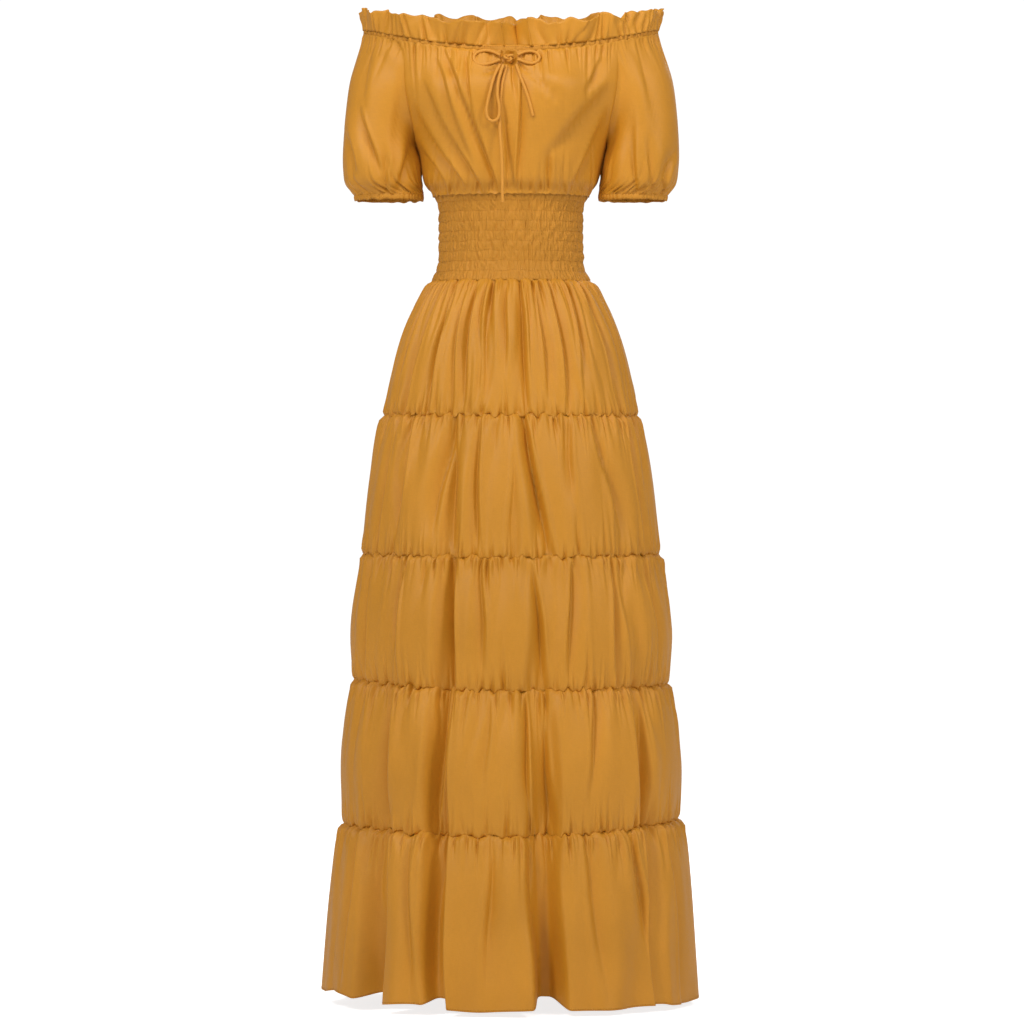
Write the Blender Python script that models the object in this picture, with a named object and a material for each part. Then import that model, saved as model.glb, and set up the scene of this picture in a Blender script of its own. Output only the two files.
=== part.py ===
"""Off-shoulder peasant dress, filled out and hollow, as its maker would cut and sew it.

Metres, +Z up. The wearer's front faces -Y and the wearer's left is +X. The origin is the middle of the
elastic neckline, level with its sides, where the wearer's shoulders hold the dress up.
Every cloth piece is a thin wall: a grid is laid on the garment's form and given its thickness inwards.
"""

import math

import bmesh
import bpy
import numpy as np

# Driving sizes, in metres.
WALL = 0.0015  # thickness of single cloth
BAND_WALL = 0.0025  # an elastic casing: two layers of cloth with elastic between
SEAM_GAP = 0.0003  # between two pieces where they are sewn together
NECK_WIDTH = 0.408  # across the elastic neckline, from shoulder to shoulder
NECK_DEPTH = 0.196  # front to back
NECK_SIDE_Z = 0.0125  # the casing's middle at the shoulders and the back
NECK_DIP = 0.030  # how much lower the casing is at the centre front
CASING_HEIGHT = 0.010
RUFFLE_HEIGHT = 0.027
RUFFLE_FRONT_EXTRA = 0.007  # how much taller the heading stands at the centre front
RUFFLE_FLARE = 0.003
RUFFLE_WAVES = 26
RUFFLE_WAVE = 0.0035  # half the depth of a ruffle wave at its top edge
CUFF_HEIGHT = 0.010
TIE_WIDTH = 0.0045
TIE_CLEARANCE = 0.0045  # from the bodice's form to the middle of the tie
TIE_CURVE = 0.7  # how much of the bodice's sideways curve the tie follows
TIE_STEP = 0.008  # distance between the points of a tie's curve
BUST_Z = -0.075  # below this height the tie hangs free of the bodice
KNOT_SIZE = (0.0150, 0.0080, 0.0130)
KNOT_PLACE = (-0.003, -0.0305)  # sideways position and height

# Where the bodice and sleeves share the armhole seam, and below it the bodice alone. z is the height at
# the side, side is the seam's distance from the middle, front and back are half depths.
BODICE_LEVELS = (
    dict(z=0.0072, side=0.1500, front=0.0980, back=0.0980),  # neckline
    dict(z=-0.0300, side=0.1495, front=0.1060, back=0.0950),  # yoke
    dict(z=-0.0700, side=0.1465, front=0.1150, back=0.0920),  # chest
    dict(z=-0.1450, side=0.1320, front=0.1090, back=0.0880),  # underarm
    dict(z=-0.1750, side=0.1250, front=0.1030, back=0.0860),  # ribs
    dict(z=-0.1970, side=0.1190, front=0.0975, back=0.0840),  # blousing over the waist
    dict(z=-0.2098, side=0.1075, front=0.0850, back=0.0790),  # waist seam
)
# The sleeve is a slice of an ellipse: middle is its centre's distance from the dress's middle, outer its
# outermost point, depth its half depth. Below the underarm it closes on itself.
SLEEVE_LEVELS = (
    dict(z=0.0072, middle=0.0000, outer=0.2040, depth=0.0980),
    dict(z=-0.0300, middle=0.1250, outer=0.2175, depth=0.0700),
    dict(z=-0.0700, middle=0.1620, outer=0.2285, depth=0.0670),
    dict(z=-0.1450, middle=0.1840, outer=0.2360, depth=0.0650),
    dict(z=-0.1750, middle=0.1808, outer=0.2340, depth=0.0630),
    dict(z=-0.1970, middle=0.1770, outer=0.2300, depth=0.0580),
    dict(z=-0.2110, middle=0.1695, outer=0.2165, depth=0.0440),
)
UNDERARM = 3  # the level, in both tables, where the sleeve leaves the bodice

# The shirred band, narrowest at its middle.
WAIST_LEVELS = (
    dict(z=-0.2102, side=0.1075, front=0.0850, back=0.0790),
    dict(z=-0.2308, side=0.1003, front=0.0790, back=0.0760),
    dict(z=-0.2515, side=0.0996, front=0.0785, back=0.0755),
    dict(z=-0.2721, side=0.0996, front=0.0785, back=0.0755),
    dict(z=-0.2927, side=0.1000, front=0.0790, back=0.0758),
    dict(z=-0.3134, side=0.1015, front=0.0800, back=0.0765),
    dict(z=-0.3340, side=0.1110, front=0.0885, back=0.0850),
)

# The skirt's seams, from the waist to the hem. A seam is a ring at height z, lifted by right at the wearer's
# right side, by left at the left side and by centre at the centre front.
SKIRT_SEAMS = (
    dict(z=-0.3340, side=0.1110, front=0.0885, back=0.0850, right=0.000, left=0.000, centre=0.000),
    dict(z=-0.5200, side=0.1775, front=0.1350, back=0.1400, right=0.001, left=0.000, centre=-0.001),
    dict(z=-0.7140, side=0.2070, front=0.1640, back=0.1680, right=0.003, left=0.002, centre=-0.001),
    dict(z=-0.8960, side=0.2185, front=0.1800, back=0.1820, right=0.011, left=0.004, centre=0.000),
    dict(z=-1.0880, side=0.2330, front=0.1960, back=0.1960, right=0.002, left=0.009, centre=-0.005),
    dict(z=-1.3270, side=0.2600, front=0.2250, back=0.2250, right=0.010, left=0.000, centre=0.000),
)
# How each tier swells between its seams. early is under 1 where it is fullest near its top.
TIERS = (
    dict(name="tier_1", belly=0.0133, early=0.72, front_columns=26, back_columns=20),
    dict(name="tier_2", belly=0.0060, early=0.75, front_columns=32, back_columns=26),
    dict(name="tier_3", belly=0.0095, early=1.15, front_columns=36, back_columns=28),
    dict(name="tier_4", belly=0.0105, early=0.85, front_columns=38, back_columns=30),
    dict(name="tier_5", belly=0.0075, early=0.50, front_columns=46, back_columns=34),
)
TIER_ROWS = (0.0, 0.28, 0.68, 1.0)

# The largest folds, troughs that run down the skirt. place is the sideways position as a share of the half
# width, and depth is in metres, at each of the skirt's six seams. steep is the side where the cloth stands up
# sharply from the trough: 1 for anticlockwise, seen from above, -1 for clockwise and 0 for neither.
LONG_FOLDS = (
    dict(side="front", steep=1, width=0.022, place=(-0.38, -0.38, -0.38, -0.39, -0.41, -0.37),
         depth=(0.000, 0.002, 0.006, 0.015, 0.026, 0.036)),
    dict(side="front", steep=0, width=0.015, place=(0.30, 0.28, 0.24, 0.19, 0.19, 0.20),
         depth=(0.000, 0.002, 0.005, 0.010, 0.024, 0.050)),
    dict(side="front", steep=1, width=0.026, place=(-0.80, -0.80, -0.79, -0.77, -0.74, -0.70),
         depth=(0.000, 0.000, 0.002, 0.005, 0.014, 0.044)),
    dict(side="front", steep=-1, width=0.022, place=(0.72, 0.72, 0.72, 0.76, 0.78, 0.78),
         depth=(0.000, 0.001, 0.004, 0.006, 0.014, 0.006)),
    dict(side="back", steep=1, width=0.022, place=(-0.55, -0.56, -0.58, -0.60, -0.61, -0.62),
         depth=(0.000, 0.001, 0.003, 0.009, 0.018, 0.036)),
    dict(side="back", steep=-1, width=0.020, place=(-0.10, -0.10, -0.09, -0.08, -0.08, -0.07),
         depth=(0.000, 0.002, 0.005, 0.012, 0.022, 0.042)),
    dict(side="back", steep=-1, width=0.022, place=(0.45, 0.46, 0.46, 0.48, 0.49, 0.50),
         depth=(0.000, 0.001, 0.003, 0.009, 0.018, 0.038)),
    dict(side="back", steep=1, width=0.020, place=(0.84, 0.84, 0.84, 0.85, 0.86, 0.86),
         depth=(0.000, 0.000, 0.002, 0.004, 0.008, 0.016)),
)
STEEP_SIDE = 0.6  # a long fold's width on its steep side, as a share of its other side's
LONG_FOLD_FLOOR = 2.6  # how flat the floor of a long fold is, where 2 is a bell
HEM_LIFT = 0.30  # how far the hem rises in a fold, as a share of the fold's depth

# Folds inside one tier, which die out at both of its seams.
TIER_FOLDS = (
    dict(tier=0, side="front", place=-0.82, width=0.017, depth=0.0060),
    dict(tier=0, side="front", place=-0.40, width=0.017, depth=0.0060),
    dict(tier=0, side="front", place=0.10, width=0.017, depth=0.0075),
    dict(tier=0, side="front", place=0.48, width=0.017, depth=0.0055),
    dict(tier=0, side="back", place=-0.50, width=0.018, depth=0.0060),
    dict(tier=0, side="back", place=0.02, width=0.018, depth=0.0070),
    dict(tier=0, side="back", place=0.55, width=0.018, depth=0.0060),
    dict(tier=1, side="front", place=-0.55, width=0.018, depth=0.0080),
    dict(tier=1, side="front", place=0.02, width=0.018, depth=0.0080),
    dict(tier=1, side="front", place=0.46, width=0.018, depth=0.0060),
    dict(tier=1, side="back", place=-0.35, width=0.019, depth=0.0070),
    dict(tier=1, side="back", place=0.25, width=0.019, depth=0.0080),
    dict(tier=2, side="front", place=-0.05, width=0.019, depth=0.0050),
    dict(tier=2, side="front", place=0.70, width=0.019, depth=0.0080),
    dict(tier=2, side="back", place=-0.30, width=0.020, depth=0.0070),
    dict(tier=2, side="back", place=0.20, width=0.020, depth=0.0070),
    dict(tier=3, side="front", place=0.08, width=0.018, depth=0.0090),
    dict(tier=3, side="front", place=0.50, width=0.019, depth=0.0060),
    dict(tier=3, side="back", place=0.18, width=0.020, depth=0.0080),
    dict(tier=3, side="back", place=-0.80, width=0.020, depth=0.0070),
    dict(tier=4, side="front", place=-0.10, width=0.020, depth=0.0080),
    dict(tier=4, side="front", place=0.44, width=0.020, depth=0.0070),
    dict(tier=4, side="back", place=0.22, width=0.021, depth=0.0090),
    dict(tier=4, side="back", place=-0.34, width=0.021, depth=0.0080),
)

# The tie's visible stretches, from the knot outwards, as sideways positions and heights. lift is how much
# further each stands from the bodice than its neighbours, so that none touch.
TIES = (
    dict(name="tie_tail_long", lift=0.0,
         route=((-0.0060, -0.0410), (-0.0120, -0.0680), (-0.0150, -0.1000), (-0.0150, -0.1300),
                (-0.0130, -0.1600), (-0.0120, -0.1900), (-0.0115, -0.2290))),
    dict(name="tie_tail_short", lift=0.0,
         route=((0.0070, -0.0400), (0.0130, -0.0570), (0.0200, -0.0760), (0.0255, -0.0930),
                (0.0300, -0.1110))),
    dict(name="tie_loop_left", lift=0.0010,
         route=((-0.0150, -0.0270), (-0.0260, -0.0215), (-0.0390, -0.0205), (-0.0480, -0.0240),
                (-0.0515, -0.0305), (-0.0480, -0.0370), (-0.0390, -0.0400), (-0.0270, -0.0380),
                (-0.0150, -0.0335))),
    dict(name="tie_loop_right", lift=0.0010,
         route=((0.0090, -0.0265), (0.0190, -0.0220), (0.0290, -0.0213), (0.0365, -0.0245),
                (0.0393, -0.0300), (0.0365, -0.0355), (0.0290, -0.0383), (0.0190, -0.0365),
                (0.0090, -0.0325))),
    dict(name="tie_loop_hanging", lift=0.0055,
         route=((-0.0150, -0.0405), (-0.0225, -0.0560), (-0.0280, -0.0760), (-0.0325, -0.0960),
                (-0.0335, -0.1080), (-0.0300, -0.1165), (-0.0235, -0.1190), (-0.0175, -0.1145),
                (-0.0158, -0.1030), (-0.0185, -0.0820), (-0.0165, -0.0600), (-0.0105, -0.0410))),
)


def smooth(at, places, values):
    """Values of a smooth curve through the given places, one cubic for each stretch."""
    places = np.asarray(places, float)
    values = np.asarray(values, float)
    slopes = np.gradient(values, places)
    at = np.clip(at, places[0], places[-1])
    i = np.clip(np.searchsorted(places, at, side="right") - 1, 0, len(places) - 2)
    step = places[i + 1] - places[i]
    s = (at - places[i]) / step
    return (
        (2 * s**3 - 3 * s**2 + 1) * values[i]
        + (s**3 - 2 * s**2 + s) * step * slopes[i]
        + (3 * s**2 - 2 * s**3) * values[i + 1]
        + (s**3 - s**2) * step * slopes[i + 1]
    )


def at_level(levels, name, v):
    """A table's column at v, which runs from 0 at the first level to 1 at the last."""
    return smooth(v, np.linspace(0, 1, len(levels)), [level[name] for level in levels])


def neck_height(depth_share):
    """Height of the casing's middle, where depth_share is -1 at the centre front and 1 at the back."""
    return NECK_SIDE_Z - NECK_DIP * np.clip(-depth_share, 0, 1) ** 2


def hung_height(levels, v, depth_share):
    """Height of a bodice or sleeve point: its level's, following the neckline's dip above the underarm."""
    underarm = UNDERARM / (len(levels) - 1)
    dip = neck_height(depth_share) - neck_height(0.0)
    return at_level(levels, "z", v) + dip * np.clip(1 - v / underarm, 0, 1)


def sleeve_opening(v):
    """Angle, from the sleeve's innermost point, of the armhole seams: 0 below the underarm."""
    middle = at_level(SLEEVE_LEVELS, "middle", v)
    reach = at_level(SLEEVE_LEVELS, "outer", v) - middle
    seam = at_level(BODICE_LEVELS, "side", v)
    angle = np.arccos(np.clip((middle - seam) / reach, -1, 1))
    return np.where(v < UNDERARM / (len(SLEEVE_LEVELS) - 1) - 1e-9, angle, 0.0)


def sleeve_point(u, v):
    """The sleeve on +X. u runs from the front seam round the outside to the back seam, v down to the cuff."""
    middle = at_level(SLEEVE_LEVELS, "middle", v)
    reach = at_level(SLEEVE_LEVELS, "outer", v) - middle
    depth = at_level(SLEEVE_LEVELS, "depth", v)
    opening = sleeve_opening(v) + 0.5 * SEAM_GAP / depth
    angle = opening + u * (2 * math.pi - 2 * opening)
    y = -depth * np.sin(angle)
    z = hung_height(SLEEVE_LEVELS, v, y / (NECK_DEPTH / 2))
    return np.stack([middle - reach * np.cos(angle), y, z], axis=-1)


def bodice_point(u, v, side):
    """The bodice's front (side -1) or back (side 1). u runs from -1 to 1, from -X in front and from +X
    behind, and v down to the waist."""
    half = at_level(BODICE_LEVELS, "side", v)
    depth = at_level(BODICE_LEVELS, "front" if side < 0 else "back", v)
    seam_y = at_level(SLEEVE_LEVELS, "depth", v) * np.sin(sleeve_opening(v))
    whole = half / np.sqrt(1 - (np.minimum(seam_y, 0.999 * depth) / depth) ** 2)
    edge = np.arcsin(np.clip(half / whole, -1, 1)) - 0.5 * SEAM_GAP / depth
    angle = u * edge
    y = side * depth * np.cos(angle)
    z = hung_height(BODICE_LEVELS, v, y / (NECK_DEPTH / 2))
    return np.stack([-side * whole * np.sin(angle), y, z], axis=-1)


def half_ring_angle(u, side, half_width):
    """Angle round a ring from its centre front, for u from -1 to 1 along its front or back half."""
    quarter = 0.5 * math.pi - 0.5 * SEAM_GAP / half_width
    return u * quarter if side < 0 else math.pi + u * quarter


def on_ring(angle, half_width, front, back, inwards=0.0):
    """A point on a level ring with unlike front and back halves, moved inwards along its normal."""
    depth = np.where(np.cos(angle) > 0, front, back)
    x, y = half_width * np.sin(angle), -depth * np.cos(angle)
    nx, ny = depth * np.sin(angle), -half_width * np.cos(angle)
    length = np.hypot(nx, ny)
    return x - inwards * nx / length, y - inwards * ny / length


def waist_point(u, v, side):
    half = at_level(WAIST_LEVELS, "side", v)
    angle = half_ring_angle(u, side, half)
    x, y = on_ring(angle, half, at_level(WAIST_LEVELS, "front", v), at_level(WAIST_LEVELS, "back", v))
    return np.stack([x, y, at_level(WAIST_LEVELS, "z", v)], axis=-1)


def place_angle(place, side):
    """Angle round the skirt of a fold at that share of the half width, in front or at the back."""
    return np.arcsin(place) if side == "front" else math.pi - np.arcsin(place)


def trough(angle, centre, radius, width, steep=0, floor=2.0):
    """1 in the middle of a fold, falling to 0 at its sides, sooner on its steep side."""
    apart = ((angle - centre + math.pi) % (2 * math.pi) - math.pi) * radius
    reach = width * np.where(apart * steep > 0, STEEP_SIDE, 1.0)
    return np.exp(-(np.abs(apart / reach) ** floor))


def skirt_troughs(angle, tier, t, radius):
    """How far the folds take the cloth inwards at an angle, t of the way down a tier."""
    level = tier + t
    seams = range(len(SKIRT_SEAMS))
    total = np.zeros(np.broadcast(angle, t).shape)
    for fold in LONG_FOLDS:
        centre = place_angle(np.interp(level, seams, fold["place"]), fold["side"])
        depth = np.interp(level, seams, fold["depth"])
        total += depth * trough(angle, centre, radius, fold["width"], fold["steep"], LONG_FOLD_FLOOR)
    for fold in TIER_FOLDS:
        if fold["tier"] == tier:
            centre = place_angle(fold["place"], fold["side"])
            total += fold["depth"] * np.sin(math.pi * t) * trough(angle, centre, radius, fold["width"])
    return total


def seam_height(seam, angle):
    """Height of a skirt seam at an angle from the centre front."""
    sideways, ahead = np.sin(angle), np.cos(angle)
    lift = seam["right"] * np.clip(-sideways, 0, 1) ** 2 + seam["left"] * np.clip(sideways, 0, 1) ** 2
    return seam["z"] + lift + seam["centre"] * np.clip(ahead, 0, 1) ** 2


def skirt_point(u, v, side, tier):
    """A tier's front or back half. v runs from its top seam to its lower edge."""
    shape = TIERS[tier]
    top, bottom = SKIRT_SEAMS[tier], SKIRT_SEAMS[tier + 1]
    swell = shape["belly"] * np.sin(math.pi * v ** shape["early"])
    half, front, back = (top[k] + (bottom[k] - top[k]) * v + swell for k in ("side", "front", "back"))
    angle = half_ring_angle(u, side, half)
    inwards = skirt_troughs(angle, tier, v, 0.5 * (half + front))
    x, y = on_ring(angle, half, front, back, inwards)
    high = seam_height(top, angle)
    last = tier == len(TIERS) - 1
    low = seam_height(bottom, angle) + (HEM_LIFT * inwards if last else SEAM_GAP)
    return np.stack([x, y, high + (low - high) * v], axis=-1)


def neck_ring(angle, outwards):
    """A point of the neckline's ring, moved outwards, at the height of the casing's middle."""
    half, depth = NECK_WIDTH / 2, NECK_DEPTH / 2
    x, y = on_ring(angle, half, depth, depth, -outwards)
    return x, y, neck_height(-np.cos(angle))


def casing_point(u, v, side):
    angle = half_ring_angle(u, side, NECK_WIDTH / 2)
    x, y, z = neck_ring(angle, 0.0005)
    return np.stack([x, y, z + CASING_HEIGHT * (0.5 - v)], axis=-1)


def ruffle_point(u, v, side):
    """The heading above the casing, v from its waved top edge down to the casing."""
    angle = half_ring_angle(u, side, NECK_WIDTH / 2)
    up = 1 - v
    wave = RUFFLE_WAVE * np.sin(RUFFLE_WAVES * angle + 1.3 * np.sin(3 * angle))
    x, y, z = neck_ring(angle, up * (RUFFLE_FLARE + wave))
    base = z + 0.5 * CASING_HEIGHT + SEAM_GAP
    height = RUFFLE_HEIGHT + RUFFLE_FRONT_EXTRA * np.clip(np.cos(angle), 0, 1) ** 2
    return np.stack([x, y, base + height * up], axis=-1)


def cuff_point(u, v):
    """The elastic cuff under the sleeve on +X, a closed band."""
    last = SLEEVE_LEVELS[-1]
    reach = last["outer"] - last["middle"]
    angle = 2 * math.pi * u
    x = last["middle"] - reach * np.cos(angle)
    z = last["z"] - SEAM_GAP - CUFF_HEIGHT * v
    return np.stack([x, -last["depth"] * np.sin(angle), z + 0 * angle], axis=-1)


def front_surface(x, z):
    """The y of the bodice's front at a sideways position and height, flattened sideways for the tie."""
    v = np.linspace(0, 1, 61)
    middle = bodice_point(np.zeros_like(v), v, -1)
    at = np.interp(-z, -middle[:, 2], v)
    depth = -np.interp(at, v, middle[:, 1])
    width = np.interp(at, v, at_level(BODICE_LEVELS, "side", v))
    return -depth * math.sqrt(max(0.0, 1 - (TIE_CURVE * x / width) ** 2))


def cloth(name, point, columns, rows, wall, material, u_range=(-1, 1), closed=False, mirror=False):
    """One cloth piece: a grid laid on point(u, v) and thickened inwards by wall.

    The wall is laid off in level planes, so that the rims at a level seam stay level and keep their gap.
    columns is a count and rows a tuple of v values. closed joins the grid's first and last columns.
    """
    grid = bmesh.new()
    number_layer = grid.verts.layers.int.new("number")
    bmesh.ops.create_grid(grid, x_segments=columns, y_segments=len(rows) - 1, size=1.0)
    verts = list(grid.verts)
    across = np.array([vert.co.x for vert in verts])
    down = np.array([0.5 * (1 - vert.co.y) * (len(rows) - 1) for vert in verts])
    u = u_range[0] + (u_range[1] - u_range[0]) * 0.5 * (1 + across)
    v = np.interp(down, range(len(rows)), rows)
    step = 1e-4
    before, after = u - step, u + step
    if not closed:
        before, after = np.maximum(before, u_range[0]), np.minimum(after, u_range[1])
    along = point(after, v) - point(before, v)
    inward = np.stack([-along[:, 1], along[:, 0], 0 * u], axis=-1)
    inward /= np.linalg.norm(inward, axis=1)[:, None]
    outer = point(u, v)
    inner = outer + wall * inward
    if mirror:
        outer[:, 0] *= -1
        inner[:, 0] *= -1
    for number, vert in enumerate(verts):
        vert.co = outer[number]
        vert[number_layer] = number
    made = bmesh.ops.extrude_face_region(grid, geom=list(grid.faces))
    for vert in made["geom"]:
        if isinstance(vert, bmesh.types.BMVert):
            vert.co = inner[vert[number_layer]]
    if closed:
        # The rims of the first and last columns meet there, back to back, inside the cloth.
        bmesh.ops.remove_doubles(grid, verts=grid.verts, dist=1e-6)
        buried = [face for face in grid.faces if all(len(edge.link_faces) > 2 for edge in face.edges)]
        bmesh.ops.delete(grid, geom=buried, context="FACES_ONLY")
    bmesh.ops.recalc_face_normals(grid, faces=grid.faces)
    mesh = bpy.data.meshes.new(name)
    grid.to_mesh(mesh)
    grid.free()
    mesh.shade_smooth()
    mesh.set_sharp_from_angle(angle=math.radians(50))
    return place_object(name, mesh, material)


def place_object(name, data, material):
    made = bpy.data.objects.new(name, data)
    data.materials.append(material)
    dress_collection().objects.link(made)
    return made


def dress_collection():
    found = bpy.data.collections.get("peasant_dress")
    if found is None:
        found = bpy.data.collections.new("peasant_dress")
        bpy.context.scene.collection.children.link(found)
    return found


def cloth_material(name, colour, roughness):
    material = bpy.data.materials.new(name)
    material.use_nodes = True
    shader = material.node_tree.nodes["Principled BSDF"]
    shader.inputs["Base Color"].default_value = (*colour, 1.0)
    shader.inputs["Roughness"].default_value = roughness
    shader.inputs["Metallic"].default_value = 0.0
    return material


def even_rows(count):
    return tuple(np.linspace(0, 1, count + 1))


def make_bodice(material):
    for side, name, columns in ((-1, "bodice_front", 24), (1, "bodice_back", 18)):
        cloth(name, lambda u, v, s=side: bodice_point(u, v, s), columns, even_rows(6), WALL, material)


def make_sleeves(material, cuff_material):
    for mirror, side in ((False, "left"), (True, "right")):
        cloth(f"sleeve_{side}", sleeve_point, 21, even_rows(6), WALL, material, (0, 1), mirror=mirror)
        cloth(f"cuff_{side}", cuff_point, 20, (0.0, 1.0), BAND_WALL, cuff_material, (0, 1), closed=True,
              mirror=mirror)


def make_neckline(material, casing_material):
    for side, name in ((-1, "front"), (1, "back")):
        cloth(f"neck_casing_{name}", lambda u, v, s=side: casing_point(u, v, s), 24, (0.0, 1.0), BAND_WALL,
              casing_material)
        cloth(f"neck_ruffle_{name}", lambda u, v, s=side: ruffle_point(u, v, s), 48, (0.0, 1.0), WALL,
              material)


def make_waist(material):
    for side, name in ((-1, "front"), (1, "back")):
        cloth(f"shirred_waist_{name}", lambda u, v, s=side: waist_point(u, v, s), 16, even_rows(6), WALL,
              material)


def make_skirt(material):
    for tier, shape in enumerate(TIERS):
        for side, name in ((-1, "front"), (1, "back")):
            cloth(f"{shape['name']}_{name}", lambda u, v, s=side, k=tier: skirt_point(u, v, s, k),
                  shape[f"{name}_columns"], TIER_ROWS, WALL, material)


def tie_line(route, lift):
    """Evenly spaced points of a smooth curve through a route that lies on the bodice, or hangs before it."""
    route = np.array(route)
    along = np.concatenate([[0], np.cumsum(np.linalg.norm(np.diff(route, axis=0), axis=1))])
    at = np.linspace(0, along[-1], max(6, round(along[-1] / TIE_STEP)) + 1)
    x, z = smooth(at, along, route[:, 0]), smooth(at, along, route[:, 1])
    y = np.array([front_surface(a, b) for a, b in zip(x, z)]) - TIE_CLEARANCE - lift
    hanging = np.minimum.accumulate(y)
    return np.stack([x, np.where(z < BUST_Z, hanging, y), z], axis=1)


def make_tie(material):
    for tie in TIES:
        curve = bpy.data.curves.new(tie["name"], "CURVE")
        curve.dimensions = "3D"
        curve.bevel_depth = TIE_WIDTH / 2
        curve.bevel_resolution = 2
        curve.use_fill_caps = True
        line = tie_line(tie["route"], tie["lift"])
        spline = curve.splines.new("POLY")
        spline.points.add(len(line) - 1)
        spline.points.foreach_set("co", np.column_stack([line, np.ones(len(line))]).ravel())
        place_object(tie["name"], curve, material)


def make_knot(material):
    knot = bmesh.new()
    bmesh.ops.create_uvsphere(knot, u_segments=12, v_segments=8, radius=0.5)
    bmesh.ops.scale(knot, vec=KNOT_SIZE, verts=knot.verts)
    mesh = bpy.data.meshes.new("tie_knot")
    knot.to_mesh(mesh)
    knot.free()
    mesh.shade_smooth()
    x, z = KNOT_PLACE
    made = place_object("tie_knot", mesh, material)
    made.location = (x, front_surface(x, z) - 0.5 * KNOT_SIZE[1] - 0.001, z)


def main():
    for old in list(bpy.data.objects):
        bpy.data.objects.remove(old)
    cotton = cloth_material("mustard_cloth", (0.545, 0.222, 0.024), 0.62)
    shirring = cloth_material("shirred_cloth", (0.505, 0.200, 0.021), 0.68)
    casing = cloth_material("elastic_casing", (0.540, 0.220, 0.024), 0.64)
    tie = cloth_material("tie_cloth", (0.570, 0.240, 0.030), 0.58)
    make_bodice(cotton)
    make_sleeves(cotton, casing)
    make_neckline(cotton, casing)
    make_waist(shirring)
    make_skirt(cotton)
    make_tie(tie)
    make_knot(tie)


main()
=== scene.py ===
import math

import bpy
import numpy as np
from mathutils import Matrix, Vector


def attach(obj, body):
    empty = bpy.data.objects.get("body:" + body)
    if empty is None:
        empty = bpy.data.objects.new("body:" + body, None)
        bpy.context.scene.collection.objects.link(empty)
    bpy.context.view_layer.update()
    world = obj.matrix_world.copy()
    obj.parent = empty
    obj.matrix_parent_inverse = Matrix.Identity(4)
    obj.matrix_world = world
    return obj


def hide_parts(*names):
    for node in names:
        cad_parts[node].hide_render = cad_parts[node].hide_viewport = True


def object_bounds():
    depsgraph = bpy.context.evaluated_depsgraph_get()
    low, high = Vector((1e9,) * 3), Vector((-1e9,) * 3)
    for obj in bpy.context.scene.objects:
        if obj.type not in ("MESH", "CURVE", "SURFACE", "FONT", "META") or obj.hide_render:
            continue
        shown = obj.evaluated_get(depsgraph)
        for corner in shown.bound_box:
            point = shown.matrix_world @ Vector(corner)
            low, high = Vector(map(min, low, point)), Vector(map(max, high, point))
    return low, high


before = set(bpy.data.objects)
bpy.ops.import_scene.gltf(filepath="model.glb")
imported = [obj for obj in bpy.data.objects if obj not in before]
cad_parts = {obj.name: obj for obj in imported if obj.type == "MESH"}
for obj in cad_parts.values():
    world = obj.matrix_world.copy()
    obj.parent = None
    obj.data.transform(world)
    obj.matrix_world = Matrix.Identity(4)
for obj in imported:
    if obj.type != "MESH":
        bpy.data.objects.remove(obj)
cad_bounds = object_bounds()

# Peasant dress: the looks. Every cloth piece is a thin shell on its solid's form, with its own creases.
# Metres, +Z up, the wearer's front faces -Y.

TAU = 2 * math.pi
CLOTH = 0.0007  # thickness of the cloth
SEAM_LAP, SEAM_TUCK = 0.0018, 0.0012  # how far a gathered edge goes up and in behind the piece above


def table(columns, *rows):
    """The rows as dicts, with the columns' names."""
    return tuple(dict(zip(columns.split(), row)) for row in rows)


# --- The garment's form, in the sizes of its solids ---------------------------------------------------

BODICE_LEVELS = table(
    "z side front back",
    (0.0072, 0.1500, 0.0980, 0.0980),  # neckline
    (-0.0300, 0.1495, 0.1060, 0.0950),  # yoke
    (-0.0700, 0.1465, 0.1150, 0.0920),  # chest
    (-0.1450, 0.1320, 0.1090, 0.0880),  # underarm
    (-0.1750, 0.1250, 0.1030, 0.0860),  # ribs
    (-0.1970, 0.1190, 0.0975, 0.0840),  # blousing over the waist
    (-0.2098, 0.1075, 0.0850, 0.0790),  # waist seam
)
SLEEVE_LEVELS = table(
    "z middle outer depth",
    (0.0072, 0.0000, 0.2040, 0.0980),
    (-0.0300, 0.1250, 0.2175, 0.0700),
    (-0.0700, 0.1620, 0.2285, 0.0670),
    (-0.1450, 0.1840, 0.2360, 0.0650),
    (-0.1750, 0.1808, 0.2340, 0.0630),
    (-0.1970, 0.1770, 0.2300, 0.0580),
    (-0.2110, 0.1695, 0.2165, 0.0440),
)
UNDERARM = 3
WAIST_LEVELS = table(
    "z side front back",
    (-0.2102, 0.1075, 0.0850, 0.0790),
    (-0.2308, 0.1003, 0.0790, 0.0760),
    (-0.2515, 0.0996, 0.0785, 0.0755),
    (-0.2721, 0.0996, 0.0785, 0.0755),
    (-0.2927, 0.1000, 0.0790, 0.0758),
    (-0.3134, 0.1015, 0.0800, 0.0765),
    (-0.3340, 0.1110, 0.0885, 0.0850),
)
# A seam is a ring at height z, lifted by right at the wearer's right side, by left at the left side and by
# centre at the centre front.
SKIRT_SEAMS = table(
    "z side front back right left centre",
    (-0.3340, 0.1110, 0.0885, 0.0850, 0.000, 0.000, 0.000),
    (-0.5200, 0.1775, 0.1350, 0.1400, 0.001, 0.000, -0.001),
    (-0.7140, 0.2070, 0.1640, 0.1680, 0.003, 0.002, -0.001),
    (-0.8960, 0.2185, 0.1800, 0.1820, 0.011, 0.004, 0.000),
    (-1.0880, 0.2330, 0.1960, 0.1960, 0.002, 0.009, -0.005),
    (-1.3270, 0.2600, 0.2250, 0.2250, 0.013, 0.000, 0.000),
)
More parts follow.
